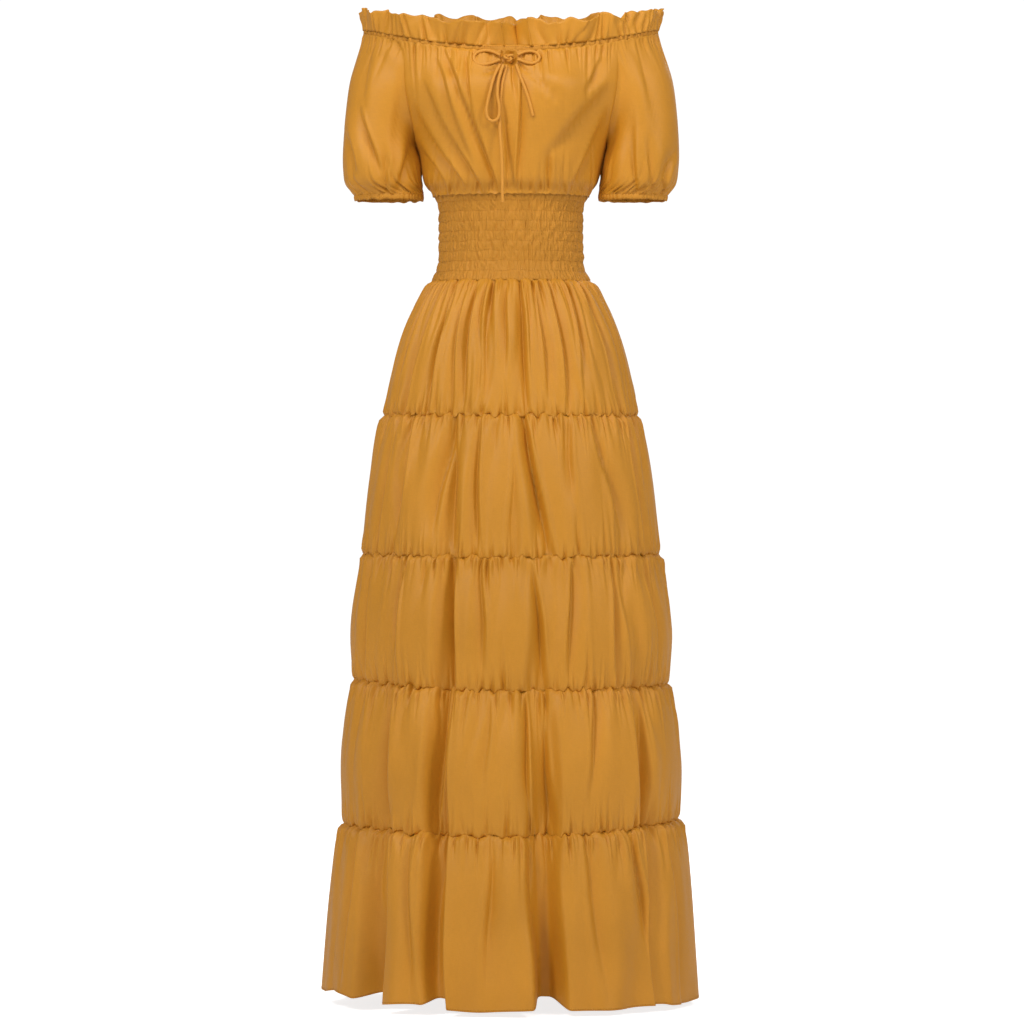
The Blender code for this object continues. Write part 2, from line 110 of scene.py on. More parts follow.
# cut is the strip's flat width, all round, and columns and rows are how finely its folds are made.
TIERS = table(
    "name belly early cut columns rows",
    ("tier_1", 0.0133, 0.72, 1.15, 960, 21),
    ("tier_2", 0.0060, 0.75, 1.45, 1000, 21),
    ("tier_3", 0.0095, 1.15, 1.60, 1000, 21),
    ("tier_4", 0.0105, 0.85, 1.75, 1020, 21),
    ("tier_5", 0.0075, 0.50, 2.10, 1100, 22),
)
NECK_WIDTH, NECK_DEPTH = 0.408, 0.196
NECK_SIDE_Z, NECK_DIP = 0.0125, 0.030
TIER_TURNINGS = 0.004  # how much higher a tier's cut is than the tier, for what its seams take up
CASING_HEIGHT = 0.010
RUFFLE_HEIGHT, RUFFLE_FRONT_EXTRA = 0.027, 0.007
CUFF_HEIGHT = 0.010

# Folds that run down several tiers: place is a share of the half width, depth in metres, at each seam.
LONG_FOLDS = table(
    "side steep width place depth",
    ("front", 1, 0.022, (-0.38, -0.38, -0.38, -0.39, -0.41, -0.37),
     (0.000, 0.002, 0.006, 0.015, 0.026, 0.036)),
    ("front", 0, 0.018, (0.30, 0.28, 0.24, 0.19, 0.19, 0.205), (0.000, 0.002, 0.005, 0.010, 0.024, 0.050)),
    ("front", 1, 0.036, (-0.80, -0.80, -0.79, -0.77, -0.74, -0.72),
     (0.000, 0.000, 0.002, 0.005, 0.014, 0.046)),
    ("front", -1, 0.022, (0.72, 0.72, 0.72, 0.76, 0.78, 0.78), (0.000, 0.001, 0.004, 0.006, 0.014, 0.006)),
    ("back", 1, 0.022, (-0.55, -0.56, -0.58, -0.60, -0.61, -0.62),
     (0.000, 0.001, 0.003, 0.009, 0.018, 0.036)),
    ("back", -1, 0.020, (-0.10, -0.10, -0.09, -0.08, -0.08, -0.07),
     (0.000, 0.002, 0.005, 0.012, 0.022, 0.042)),
    ("back", -1, 0.022, (0.45, 0.46, 0.46, 0.48, 0.49, 0.50), (0.000, 0.001, 0.003, 0.009, 0.018, 0.038)),
    ("back", 1, 0.020, (0.84, 0.84, 0.84, 0.85, 0.86, 0.86), (0.000, 0.000, 0.002, 0.004, 0.008, 0.016)),
)
# Creases inside one tier: from (place, share of the way down) to the same at the lower end. steep as above.
CREASES = table(
    "tier start end width depth steep",
    (0, (0.10, 0.00), (0.13, 1.00), 0.0070, 0.0120, 1),
    (0, (-0.42, 0.00), (-0.38, 0.90), 0.0065, 0.0095, 1),
    (0, (-0.52, 0.10), (-0.47, 1.00), 0.0060, 0.0070, 1),
    (0, (0.29, 0.02), (0.31, 0.80), 0.0060, 0.0080, -1),
    (0, (0.46, 0.02), (0.47, 0.95), 0.0065, 0.0085, -1),
    (0, (-0.66, 0.02), (-0.66, 0.90), 0.0065, 0.0080, 1),
    (0, (-0.80, 0.06), (-0.84, 1.00), 0.0070, 0.0080, 1),
    (0, (-0.90, 0.15), (-0.93, 1.00), 0.0060, 0.0060, 1),
    (0, (-0.24, 0.00), (-0.21, 0.80), 0.0060, 0.0075, -1),
    (0, (-0.06, 0.02), (-0.05, 0.60), 0.0055, 0.0060, 1),
    (0, (0.66, 0.02), (0.60, 0.75), 0.0060, 0.0070, -1),
    (0, (0.82, 0.05), (0.86, 0.95), 0.0065, 0.0065, -1),
    (1, (-0.42, 0.06), (-0.395, 0.98), 0.0140, 0.0130, 1),
    (1, (-0.44, 0.15), (-0.54, 0.78), 0.0120, 0.0120, 1),
    (1, (-0.24, 0.05), (-0.23, 1.00), 0.0070, 0.0095, 1),
    (1, (0.10, 0.00), (0.26, 1.00), 0.0080, 0.0180, 1),
    (1, (0.62, 0.10), (0.76, 0.80), 0.0110, 0.0090, -1),
    (1, (-0.74, 0.00), (-0.78, 0.80), 0.0090, 0.0080, 1),
    (1, (-0.88, 0.10), (-0.90, 1.00), 0.0080, 0.0070, 1),
    (1, (0.02, 0.35), (0.00, 1.00), 0.0080, 0.0050, -1),
    (1, (0.44, 0.00), (0.42, 0.55), 0.0075, 0.0070, 1),
    (1, (0.88, 0.05), (0.90, 1.00), 0.0085, 0.0070, -1),
    (2, (-0.38, 0.00), (-0.38, 1.00), 0.0090, 0.0150, 1),
    (2, (-0.19, 0.10), (-0.17, 0.80), 0.0080, 0.0080, 1),
    (2, (0.14, 0.05), (0.22, 1.00), 0.0085, 0.0120, 1),
    (2, (0.40, 0.00), (0.36, 0.85), 0.0080, 0.0090, -1),
    (2, (0.66, 0.10), (0.66, 0.95), 0.0100, 0.0100, -1),
    (2, (-0.70, 0.00), (-0.74, 0.80), 0.0095, 0.0090, 1),
    (2, (0.88, 0.00), (0.92, 0.80), 0.0085, 0.0070, -1),
    (2, (-0.90, 0.20), (-0.92, 1.00), 0.0085, 0.0070, 1),
    (3, (-0.40, 0.00), (-0.47, 1.00), 0.0085, 0.0130, 1),
    (3, (-0.74, 0.10), (-0.76, 1.00), 0.0100, 0.0110, 1),
    (3, (0.08, 0.00), (0.11, 1.00), 0.0075, 0.0120, 1),
    (3, (0.20, 0.30), (0.26, 1.00), 0.0085, 0.0110, 1),
    (3, (0.52, 0.00), (0.46, 0.70), 0.0090, 0.0070, -1),
    (3, (0.80, 0.20), (0.80, 1.00), 0.0095, 0.0100, 1),
    (3, (-0.12, 0.00), (-0.16, 0.60), 0.0085, 0.0060, 1),
    (4, (-0.10, 0.00), (-0.13, 0.80), 0.0110, 0.0080, -1),
    (4, (0.10, 0.00), (0.12, 0.55), 0.0090, 0.0110, 1),
    (4, (0.42, 0.00), (0.50, 0.90), 0.0130, 0.0070, -1),
    (4, (-0.58, 0.00), (-0.54, 0.90), 0.0110, 0.0080, 1),
    (4, (0.70, 0.00), (0.74, 0.60), 0.0080, 0.0110, 1),
    (4, (0.90, 0.00), (0.92, 1.00), 0.0120, 0.0080, -1),
    (4, (-0.88, 0.00), (-0.90, 0.90), 0.0110, 0.0080, 1),
)
HIDDEN_CREASES_PER_TIER = (12, 9, 8, 8, 7)  # behind, unevenly spaced in the same way
STEEP_SIDE = 0.32  # a fold's width on its steep side, as a share of its other side's
LONG_FOLD_FLOOR = (2.4, 5.0)  # how flat the floor of a long fold is, at the waist and at the hem
HEM_LIFT = 0.30  # how far the hem rises in a fold, as a share of the fold's depth


def smooth(at, places, values):
    """Values of a smooth curve through the given places, one cubic for each stretch."""
    places = np.asarray(places, float)
    values = np.asarray(values, float)
    slopes = np.gradient(values, places)
    at = np.clip(at, places[0], places[-1])
    i = np.clip(np.searchsorted(places, at, side="right") - 1, 0, len(places) - 2)
    step = places[i + 1] - places[i]
    s = (at - places[i]) / step
    return (
        (2 * s**3 - 3 * s**2 + 1) * values[i]
        + (s**3 - 2 * s**2 + s) * step * slopes[i]
        + (3 * s**2 - 2 * s**3) * values[i + 1]
        + (s**3 - s**2) * step * slopes[i + 1]
    )


def at_level(levels, name, v):
    return smooth(v, np.linspace(0, 1, len(levels)), [level[name] for level in levels])


def neck_height(depth_share):
    return NECK_SIDE_Z - NECK_DIP * np.clip(-depth_share, 0, 1) ** 2


def hung_height(levels, v, depth_share):
    underarm = UNDERARM / (len(levels) - 1)
    dip = neck_height(depth_share) - neck_height(0.0)
    return at_level(levels, "z", v) + dip * np.clip(1 - v / underarm, 0, 1)


def sleeve_opening(v):
    middle = at_level(SLEEVE_LEVELS, "middle", v)
    reach = at_level(SLEEVE_LEVELS, "outer", v) - middle
    seam = at_level(BODICE_LEVELS, "side", v)
    angle = np.arccos(np.clip((middle - seam) / reach, -1, 1))
    return np.where(v < UNDERARM / (len(SLEEVE_LEVELS) - 1) - 1e-9, angle, 0.0)


def sleeve_form(u, v):
    """The sleeve on +X: u from the front seam round the outside to the back seam, v down to the cuff."""
    middle = at_level(SLEEVE_LEVELS, "middle", v)
    reach = at_level(SLEEVE_LEVELS, "outer", v) - middle
    depth = at_level(SLEEVE_LEVELS, "depth", v)
    opening = sleeve_opening(v)
    angle = opening + u * (TAU - 2 * opening)
    y = -depth * np.sin(angle)
    z = hung_height(SLEEVE_LEVELS, v, y / (NECK_DEPTH / 2))
    return np.stack([middle - reach * np.cos(angle), y, z], -1)


def bodice_form(u, v, side):
    """The front (side -1) or back (side 1): u from -1 to 1, from -X in front and from +X behind."""
    half = at_level(BODICE_LEVELS, "side", v)
    depth = at_level(BODICE_LEVELS, "front" if side < 0 else "back", v)
    seam_y = at_level(SLEEVE_LEVELS, "depth", v) * np.sin(sleeve_opening(v))
    share = np.minimum(seam_y, 0.999 * depth) / depth
    whole = half / np.sqrt(1 - share**2)
    angle = u * np.arccos(share)
    y = side * depth * np.cos(angle)
    x = -side * whole * np.sin(angle)
    return np.stack([x, y, hung_height(BODICE_LEVELS, v, y / (NECK_DEPTH / 2))], -1)


def on_ring(angle, half_width, front, back, inwards=0.0):
    """A point on a ring with unlike halves; angle runs from the centre front towards +X."""
    depth = np.where(np.cos(angle) > 0, front, back)
    x, y = half_width * np.sin(angle), -depth * np.cos(angle)
    nx, ny = depth * np.sin(angle), -half_width * np.cos(angle)
    length = np.hypot(nx, ny)
    return x - inwards * nx / length, y - inwards * ny / length


# --- Folds and gathers ---------------------------------------------------------------------------------


def ripple(seed, length, wavelength, spread=0.4, count=7):
    """A smooth random signal of about -1 to 1 that repeats over length."""
    rng = np.random.default_rng(seed)
    turns = np.maximum(1, np.round(length / wavelength * rng.uniform(1 - spread, 1 + spread, count)))
    phases = rng.uniform(0, TAU, count)
    weights = rng.uniform(0.5, 1.0, count)
    weights /= np.sqrt((weights**2).sum() / 2) * 1.6

    def signal(s, twist=0.0):
        return sum(w * np.sin(TAU * k * s / length + p + twist * (1 + 0.3 * i))
                   for i, (k, p, w) in enumerate(zip(turns, phases, weights)))

    return signal


def pleat_phase(seed, length, wavelength):
    """The phase of unevenly spaced pleats, one for each pi, and a signal for their uneven depth."""
    count = max(2, round(length / wavelength))
    drift = ripple(seed, length, 4.0 * wavelength)
    size = ripple(seed + 1, length, 2.6 * wavelength)
    return (lambda s, wander=0.0: math.pi * count * (s + wander) / length + 0.9 * drift(s),
            lambda s: np.clip(0.70 + 0.50 * size(s), 0.12, 1.25))


def gathers(seed, length, wavelength):
    """Pleat-like folds, broad ridges and narrow valleys, about -0.6 to 0.4, uneven in spacing and depth."""
    phase, size = pleat_phase(seed, length, wavelength)

    def signal(s, wander=0.0):
        return (np.sqrt(np.sin(phase(s, wander)) ** 2 + 0.008) - 0.62) * size(s)

    return signal


# Gathers by octave: wavelength, height, and how far from the seam they reach, least and most.
FINE = dict(wavelength=0.0095, height=0.0064, reach=(0.006, 0.026))
MEDIUM = dict(wavelength=0.0180, height=0.0074, reach=(0.012, 0.046))
LONG = dict(wavelength=0.0215, height=0.0060, reach=(0.070, 0.240))
BROAD = dict(wavelength=0.0520, height=0.0055, reach=(0.060, 0.180))
WAIST_GATHERS = (FINE, MEDIUM, LONG)
SEAM_GATHERS = (FINE, MEDIUM, BROAD)
LOWER_GATHERS = (FINE, MEDIUM)


def gathered(s, h, length, seed, strength, octaves):
    """Folds that start at a gathered seam, at distance h from it, and die out unevenly away from it."""
    total = 0.0 * s
    for number, octave in enumerate(octaves):
        low, high = octave["reach"]
        spread = ripple(seed + 31 * number + 2, length, 2.5 * octave["wavelength"])(s)
        reach = low + (high - low) * np.clip(0.5 + 0.6 * spread, 0, 1) ** 1.5
        wander = octave["wavelength"] * 0.22 * ripple(seed + 31 * number + 3, length, 0.13)(s, h / 0.060)
        fold = gathers(seed + 31 * number + 4, length, octave["wavelength"])(s, wander)
        start = 1 - np.exp(-h / (0.05 * octave["wavelength"] + 0.0008))
        total += octave["height"] * start * np.exp(-((h / reach) ** 1.8)) * fold
    return strength * total


def crease(distance, width, steep=0):
    """A trough with a narrow floor, soft shoulders and a steep side: 1 in its middle."""
    d = np.abs(distance) / (width * np.where(distance * steep > 0, STEEP_SIDE, 1.0))
    return np.exp(-(d**1.4)) - 0.20 * np.exp(-(((d - 2.4) / 1.1) ** 2))


def wrapped(angle):
    return (angle + math.pi) % TAU - math.pi


def place_angle(place, side):
    place = np.clip(place, -0.999, 0.999)
    return np.arcsin(place) if side == "front" else math.pi - np.arcsin(place)


def hidden_creases(tier):
    """Creases behind, of the same kind as those in front."""
    rng = np.random.default_rng(70 + tier)
    count = HIDDEN_CREASES_PER_TIER[tier]
    for number in range(count):
        place = -0.94 + 1.88 * (number + rng.uniform(0.15, 0.85)) / count
        lean = rng.uniform(-0.10, 0.10)
        start, end = rng.uniform(0, 0.15), rng.uniform(0.6, 1.0)
        yield dict(tier=tier, start=(place, start), end=(place + lean, end), width=rng.uniform(0.006, 0.011),
                   depth=rng.uniform(0.006, 0.015), steep=rng.choice((-1, 1)))


def skirt_folds(angle, t, tier, radius):
    """How far the long folds and creases take the cloth inwards, t of the way down a tier."""
    level = tier + t
    seams = range(len(SKIRT_SEAMS))
    floor = np.interp(level, (0, len(TIERS)), LONG_FOLD_FLOOR)
    total = 0.0 * angle
    for number, fold in enumerate(LONG_FOLDS):
        place = np.interp(level, seams, fold["place"]) + 0.010 * np.sin(5.0 * level + 2.1 * number)
        depth = np.interp(level, seams, fold["depth"])
        apart = wrapped(angle - place_angle(place, fold["side"])) * radius
        reach = fold["width"] * np.where(apart * fold["steep"] > 0, STEEP_SIDE, 1.0)
        total += depth * np.exp(-((np.abs(apart) / reach) ** floor))
    for side, creases in (("front", CREASES), ("back", hidden_creases(tier))):
        for number, fold in enumerate(creases):
            if fold["tier"] != tier:
                continue
            (first, top), (last, low) = fold["start"], fold["end"]
            along = np.clip((t - top) / (low - top), 0, 1)
            place = first + (last - first) * along + 0.006 * np.sin(7 * along + number)
            apart = wrapped(angle - place_angle(place, side)) * radius
            fade = np.sin(math.pi * np.clip((t - top + 0.10) / (low - top + 0.20), 0, 1)) ** 0.8
            total += fold["depth"] * fade * crease(apart, fold["width"] * (0.7 + 0.6 * along), fold["steep"])
    return total


# --- Meshes --------------------------------------------------------------------------------------------

ROW_CROWDING = 0.956 * math.pi / 2  # at pi/2 the rows would crowd together most at the ends


def spaced_rows(count):
    """Row positions from 0 to 1 that are closer together near both ends."""
    return 0.5 + 0.5 * np.sin(ROW_CROWDING * np.linspace(-1, 1, count)) / math.sin(ROW_CROWDING)


def ring_grid(columns, rows, start=-math.pi):
    """Angles all round and shares of the way down, for a closed band."""
    angles = np.linspace(start, start + TAU, columns, endpoint=False)
    return np.meshgrid(angles, np.linspace(0, 1, rows))


def placed(name, data):
    """A new object in the scene."""
    made = bpy.data.objects.new(name, data)
    bpy.context.scene.collection.objects.link(made)
    return made


def along_lengths(points, axis):
    steps = np.linalg.norm(np.diff(points, axis=axis), axis=-1)
    pad = np.zeros_like(np.take(steps, [0], axis=axis))
    return np.cumsum(np.concatenate([pad, steps], axis=axis), axis=axis)


def outward(points, closed):
    """Unit normals of a grid of points whose columns run anticlockwise and whose rows run down."""
    if closed:
        around = np.roll(points, -1, axis=1) - np.roll(points, 1, axis=1)
    else:
        around = np.gradient(points, axis=1)
    down = np.gradient(points, axis=0)
    normal = np.cross(down, around)
    return normal / np.maximum(np.linalg.norm(normal, axis=-1, keepdims=True), 1e-12)


def shell(name, points, closed, material, cad_nodes, flat, thickness=CLOTH):
    """A thin cloth piece through a grid of points, which stands for its CAD nodes. flat is its cut."""
    rows, columns = points.shape[:2]
    faces_across = columns if closed else columns - 1
    r, c = np.meshgrid(np.arange(rows - 1), np.arange(faces_across), indexing="ij")
    corners = np.stack([r * columns + c, (r + 1) * columns + c, (r + 1) * columns + (c + 1) % columns,
                        r * columns + (c + 1) % columns], -1).reshape(-1, 4)
    mesh = bpy.data.meshes.new(name)
    mesh.vertices.add(rows * columns)
    mesh.vertices.foreach_set("co", points.reshape(-1, 3).astype(np.float32).ravel())
    mesh.loops.add(corners.size)
    mesh.loops.foreach_set("vertex_index", corners.astype(np.int32).ravel())
    mesh.polygons.add(len(corners))
    mesh.polygons.foreach_set("loop_start", np.arange(0, corners.size, 4, dtype=np.int32))
    mesh.polygons.foreach_set("loop_total", np.full(len(corners), 4, np.int32))
    uv = np.stack([c, r, c, r + 1, c + 1, r + 1, c + 1, r], -1).reshape(-1, 4, 2).astype(float)
    uv[..., 0] *= flat[0] / faces_across
    uv[..., 1] *= flat[1] / (rows - 1)
    mesh.uv_layers.new(name="Weave").data.foreach_set("uv", uv.astype(np.float32).ravel())
    mesh.update(calc_edges=True)
    mesh.validate()
    mesh.shade_smooth()
    mesh.materials.append(material)
    piece = placed(name, mesh)
    solid = piece.modifiers.new("Thickness", "SOLIDIFY")
    solid.thickness = thickness
    solid.offset = -1.0
    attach(piece, "root")
    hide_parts(*cad_nodes)


def mirrored(points):
    """The same piece for the other side of the body, its columns still anticlockwise."""
    return (points * np.array([-1.0, 1.0, 1.0]))[:, ::-1]


def stitches(name, places, along, out, length, width):
    """Many small spindle-shaped stitches as one mesh. along and out are unit vectors at each place."""
    across = np.cross(along, out)
    unit = np.array([[-0.5, 0, 0], [-0.2, 0.5, 0.1], [-0.2, 0, 0.6], [-0.2, -0.5, 0.1],
                     [0.2, 0.5, 0.1], [0.2, 0, 0.6], [0.2, -0.5, 0.1], [0.5, 0, 0]])
    faces = np.array([[0, 2, 1], [0, 3, 2], [0, 1, 3], [1, 2, 5], [1, 5, 4], [2, 3, 6], [2, 6, 5],
                      [3, 1, 4], [3, 4, 6], [7, 4, 5], [7, 5, 6], [7, 6, 4]])
    size = unit * np.array([length, width, width])
    verts = (places[:, None] + size[None, :, :1] * along[:, None] + size[None, :, 1:2] * across[:, None]
             + size[None, :, 2:] * out[:, None])
    index = faces[None] + len(unit) * np.arange(len(places))[:, None, None]
    mesh = bpy.data.meshes.new(name)
    mesh.from_pydata(verts.reshape(-1, 3).tolist(), [], index.reshape(-1, 3).tolist())
    mesh.shade_smooth()
    mesh.materials.append(thread)
    piece = placed(name, mesh)
    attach(piece, "root")


def stitch_row(points, normals, spacing):
    """Places, directions and normals at even spacing along a closed row of surface points."""
    loop = np.concatenate([points, points[:1]])
    outs = np.concatenate([normals, normals[:1]])
    far = along_lengths(loop, 0)

    def read(values, at):
        return np.stack([np.interp(at, far, values[:, k]) for k in range(3)], -1)

    at = np.arange(0.5 * spacing, far[-1], spacing)
    place, out = read(loop, at), read(outs, at)
    along = read(loop, at + 0.3 * spacing) - place
    along /= np.maximum(np.linalg.norm(along, axis=1, keepdims=True), 1e-9)
    out -= (out * along).sum(1, keepdims=True) * along
    out /= np.linalg.norm(out, axis=1, keepdims=True)
    return place, along, out


# --- Materials -----------------------------------------------------------------------------------------


class Nodes:
    """A small helper that adds and links shader nodes."""

    def __init__(self, material):
        material.use_nodes = True
        self.tree = material.node_tree
        self.shader = self.tree.nodes["Principled BSDF"]

    def add(self, kind, **settings):
        node = self.tree.nodes.new(kind)
        for key, value in settings.items():
            setattr(node, key, value)
        return node

    def link(self, source, target):
        self.tree.links.new(source, target)

    def noise(self, vector, scale, detail=3.0, stretch=None):
        if stretch:
            mapping = self.add("ShaderNodeMapping")
            mapping.inputs["Scale"].default_value = stretch
            self.link(vector, mapping.inputs["Vector"])
            vector = mapping.outputs["Vector"]
        node = self.add("ShaderNodeTexNoise")
        node.inputs["Scale"].default_value = scale
        node.inputs["Detail"].default_value = detail
        self.link(vector, node.inputs["Vector"])
        return node.outputs["Fac"]

    def ramp(self, value, low, high, start, end):
        node = self.add("ShaderNodeMapRange")
        node.inputs["From Min"].default_value = start
        node.inputs["From Max"].default_value = end
        node.inputs["To Min"].default_value = low
        node.inputs["To Max"].default_value = high
        self.link(value, node.inputs["Value"])
        return node.outputs["Result"]

    def math(self, operation, a, b):
        node = self.add("ShaderNodeMath", operation=operation)
        for socket, value in zip(node.inputs, (a, b)):
            if isinstance(value, (int, float)):
                socket.default_value = value
            else:
                self.link(value, socket)
        return node.outputs["Value"]

    def mix_colour(self, factor, a, b):
        node = self.add("ShaderNodeMix", data_type="RGBA")
        self.link(factor, node.inputs["Factor"])
        node.inputs["A"].default_value = (*a, 1)
        node.inputs["B"].default_value = (*b, 1)
        return node.outputs["Result"]


THREAD_HEIGHT, CRINKLE_HEIGHT, PUCKER_HEIGHT = 0.00006, 0.00035, 0.0028  # of the bumps, at full strength
METRE_WAVE = 0.314  # a wave texture at this scale repeats once in a metre


def cloth_material(name, colour, roughness=0.52, crinkle=0.4, thread=0.00055, puckers=0.0):
    """Plain-woven cotton blend: crossed threads, slubs, slight unevenness of dye, and a soft sheen.

    puckers adds the finest upright ridges of cloth drawn up on elastic.
    """
    material = bpy.data.materials.new(name)
    nodes = Nodes(material)
    uv = nodes.add("ShaderNodeTexCoord").outputs["UV"]
    place = nodes.add("ShaderNodeTexCoord").outputs["Object"]
    pale = tuple(min(1.0, c * 1.07 + 0.004) for c in colour)
    deep = tuple(c * 0.90 for c in colour)
    dye = nodes.noise(place, 9.0, 4.0)
    slubs = nodes.noise(uv, 1.0, 2.0, stretch=(90.0, 900.0, 1.0))
    warp_slubs = nodes.noise(uv, 1.0, 2.0, stretch=(900.0, 90.0, 1.0))
    mottle = nodes.math("ADD", nodes.math("MULTIPLY", dye, 0.55), nodes.math("MULTIPLY", slubs, 0.25))
    mottle = nodes.math("ADD", mottle, nodes.math("MULTIPLY", warp_slubs, 0.20))
    shade = nodes.ramp(mottle, 0.0, 1.0, 0.33, 0.67)
    nodes.link(nodes.mix_colour(shade, deep, pale), nodes.shader.inputs["Base Color"])
    rough = nodes.ramp(slubs, roughness - 0.06, roughness + 0.06, 0.3, 0.7)
    nodes.link(rough, nodes.shader.inputs["Roughness"])
    threads = []
    for direction in ("X", "Y"):
        wave = nodes.add("ShaderNodeTexWave", bands_direction=direction, wave_profile="SIN")
        wave.inputs["Scale"].default_value = METRE_WAVE / thread / 2
        wave.inputs["Distortion"].default_value = 0.6
        wave.inputs["Detail Scale"].default_value = 2.0
        nodes.link(uv, wave.inputs["Vector"])
        threads.append(wave.outputs["Fac"])
    weave = nodes.math("MULTIPLY", nodes.math("MAXIMUM", *threads), THREAD_HEIGHT)
    fine = nodes.noise(place, 210.0, 3.0)
    soft = nodes.noise(place, 60.0, 3.0)
    crinkles = nodes.math("ADD", fine, nodes.math("MULTIPLY", soft, 2.5))
    height = nodes.math("ADD", weave, nodes.math("MULTIPLY", crinkles, crinkle * CRINKLE_HEIGHT))
    if puckers:
        ridges = nodes.noise(uv, 1.0, 2.0, stretch=(420.0, 70.0, 1.0))
        height = nodes.math("ADD", height, nodes.math("MULTIPLY", ridges, puckers * PUCKER_HEIGHT))
    bump = nodes.add("ShaderNodeBump")
    bump.inputs["Strength"].default_value = 0.7
    bump.inputs["Distance"].default_value = 1.0
    nodes.link(height, bump.inputs["Height"])
    nodes.link(bump.outputs["Normal"], nodes.shader.inputs["Normal"])
    nodes.shader.inputs["Sheen Weight"].default_value = 0.04
    nodes.shader.inputs["Sheen Roughness"].default_value = 0.45
    nodes.shader.inputs["Sheen Tint"].default_value = (1.0, 0.76, 0.44, 1)
    nodes.shader.inputs["Specular IOR Level"].default_value = 0.36
    return material


def thread_material(name, colour):
    material = bpy.data.materials.new(name)
    nodes = Nodes(material)
    place = nodes.add("ShaderNodeTexCoord").outputs["Object"]
    twist = nodes.noise(place, 900.0, 2.0)
    deep = tuple(c * 0.8 for c in colour)
    nodes.link(nodes.mix_colour(twist, deep, colour), nodes.shader.inputs["Base Color"])
    nodes.shader.inputs["Roughness"].default_value = 0.7
    nodes.shader.inputs["Specular IOR Level"].default_value = 0.15
    return material


# MUSTARD_SHIRRED_PAINTED_SHADE and MUSTARD_CASING_PAINTED_SHADE are darker copies of MUSTARD. They are
# painted shade on the shirred waist under the bodice, and on the neck casing and cuffs under the ruffle and
# sleeves.
MUSTARD, MUSTARD_SHIRRED_PAINTED_SHADE, MUSTARD_CASING_PAINTED_SHADE = (0.535, 0.220, 0.010), (0.500, 0.204, 0.011), (0.515, 0.210, 0.011)
# MUSTARD_TIE_PAINTED_HIGHLIGHT is a lighter, paler copy of MUSTARD: a painted highlight on the ties and the
# knot.
MUSTARD_TIE_PAINTED_HIGHLIGHT, MUSTARD_THREAD = (0.580, 0.240, 0.022), (0.50, 0.198, 0.016)
cotton = cloth_material("mustard_cotton", MUSTARD)
# Painted shade: the shirred waist's cloth is a darker copy of the mustard cotton.
shirred_cotton_painted_shade = cloth_material("shirred_cotton_painted_shade", MUSTARD_SHIRRED_PAINTED_SHADE, roughness=0.66, crinkle=0.8, puckers=1.0)
# Painted shade: the neck casing and the cuffs use a darker copy of the mustard cotton.
casing_cotton_painted_shade = cloth_material("casing_cotton_painted_shade", MUSTARD_CASING_PAINTED_SHADE, roughness=0.64, crinkle=0.8)
# Painted highlight: the ties and the knot use a lighter, paler copy of the mustard cotton.
tie_cotton_painted_highlight = cloth_material("tie_cotton_painted_highlight", MUSTARD_TIE_PAINTED_HIGHLIGHT, roughness=0.58, crinkle=0.6, thread=0.0005)
thread = thread_material("mustard_thread", MUSTARD_THREAD)


# --- Camera --------------------------------------------------------------------------------------------

FRAME_HEIGHT = 1.423  # what the picture takes in at the dress
CAMERA_DISTANCE = 7.5
CAMERA_X, CAMERA_DROP = 0.0014, 0.012  # how far it stands to the left side, and below the middle's height
SENSOR = 36.0
low, high = (np.array(corner) for corner in cad_bounds)
camera = placed("camera", bpy.data.cameras.new("camera"))
camera.data.sensor_width = SENSOR
camera.data.lens = SENSOR * CAMERA_DISTANCE / FRAME_HEIGHT
camera.location = (CAMERA_X, -CAMERA_DISTANCE, 0.5 * (low[2] + high[2]) - CAMERA_DROP)
camera.rotation_euler = (math.pi / 2, 0, 0)
camera.data.clip_end = 50.0
bpy.context.scene.camera = camera


# --- The tie -------------------------------------------------------------------------------------------

TIE_WIDTH = 0.0045
TIE_CLEARANCE = 0.0045
KNOT_PLACE = (-0.003, -0.0305)
KNOT_SIZE = (0.0150, 0.0080, 0.0130)
TIE_STEP = 0.005  # distance between the points of a tie's curve
TIE_CURVE = 0.7  # how much of the bodice's curve the tie follows
BUST_Z = -0.075  # below this the tie hangs straight down
TIES = (
    dict(name="tie_tail_long", lift=0.0, far_end="bare", lay="hanging",
         route=((-0.0060, -0.0410), (-0.0120, -0.0680), (-0.0150, -0.1000), (-0.0150, -0.1300),
                (-0.0130, -0.1600), (-0.0120, -0.1900), (-0.0115, -0.2290))),
    dict(name="tie_tail_short", lift=0.0, far_end="bare", lay="hanging",
         route=((0.0070, -0.0400), (0.0130, -0.0570), (0.0200, -0.0760), (0.0255, -0.0930),
                (0.0300, -0.1110))),
    dict(name="tie_loop_left", lift=0.0010, far_end="object", lay="loose",
         route=((-0.0150, -0.0270), (-0.0260, -0.0215), (-0.0390, -0.0205), (-0.0480, -0.0240),
                (-0.0515, -0.0305), (-0.0480, -0.0370), (-0.0390, -0.0400), (-0.0270, -0.0380),
                (-0.0150, -0.0335))),
    dict(name="tie_loop_right", lift=0.0010, far_end="object", lay="loose",
         route=((0.0090, -0.0265), (0.0190, -0.0220), (0.0290, -0.0213), (0.0365, -0.0245),
                (0.0393, -0.0300), (0.0365, -0.0355), (0.0290, -0.0383), (0.0190, -0.0365),
                (0.0090, -0.0325))),
    dict(name="tie_loop_hanging", lift=0.0055, far_end="object", lay="hanging",
         route=((-0.0150, -0.0405), (-0.0225, -0.0560), (-0.0280, -0.0760), (-0.0325, -0.0960),
                (-0.0335, -0.1080), (-0.0300, -0.1165), (-0.0235, -0.1190), (-0.0175, -0.1145),
                (-0.0158, -0.1030), (-0.0185, -0.0820), (-0.0165, -0.0600), (-0.0105, -0.0410))),
)


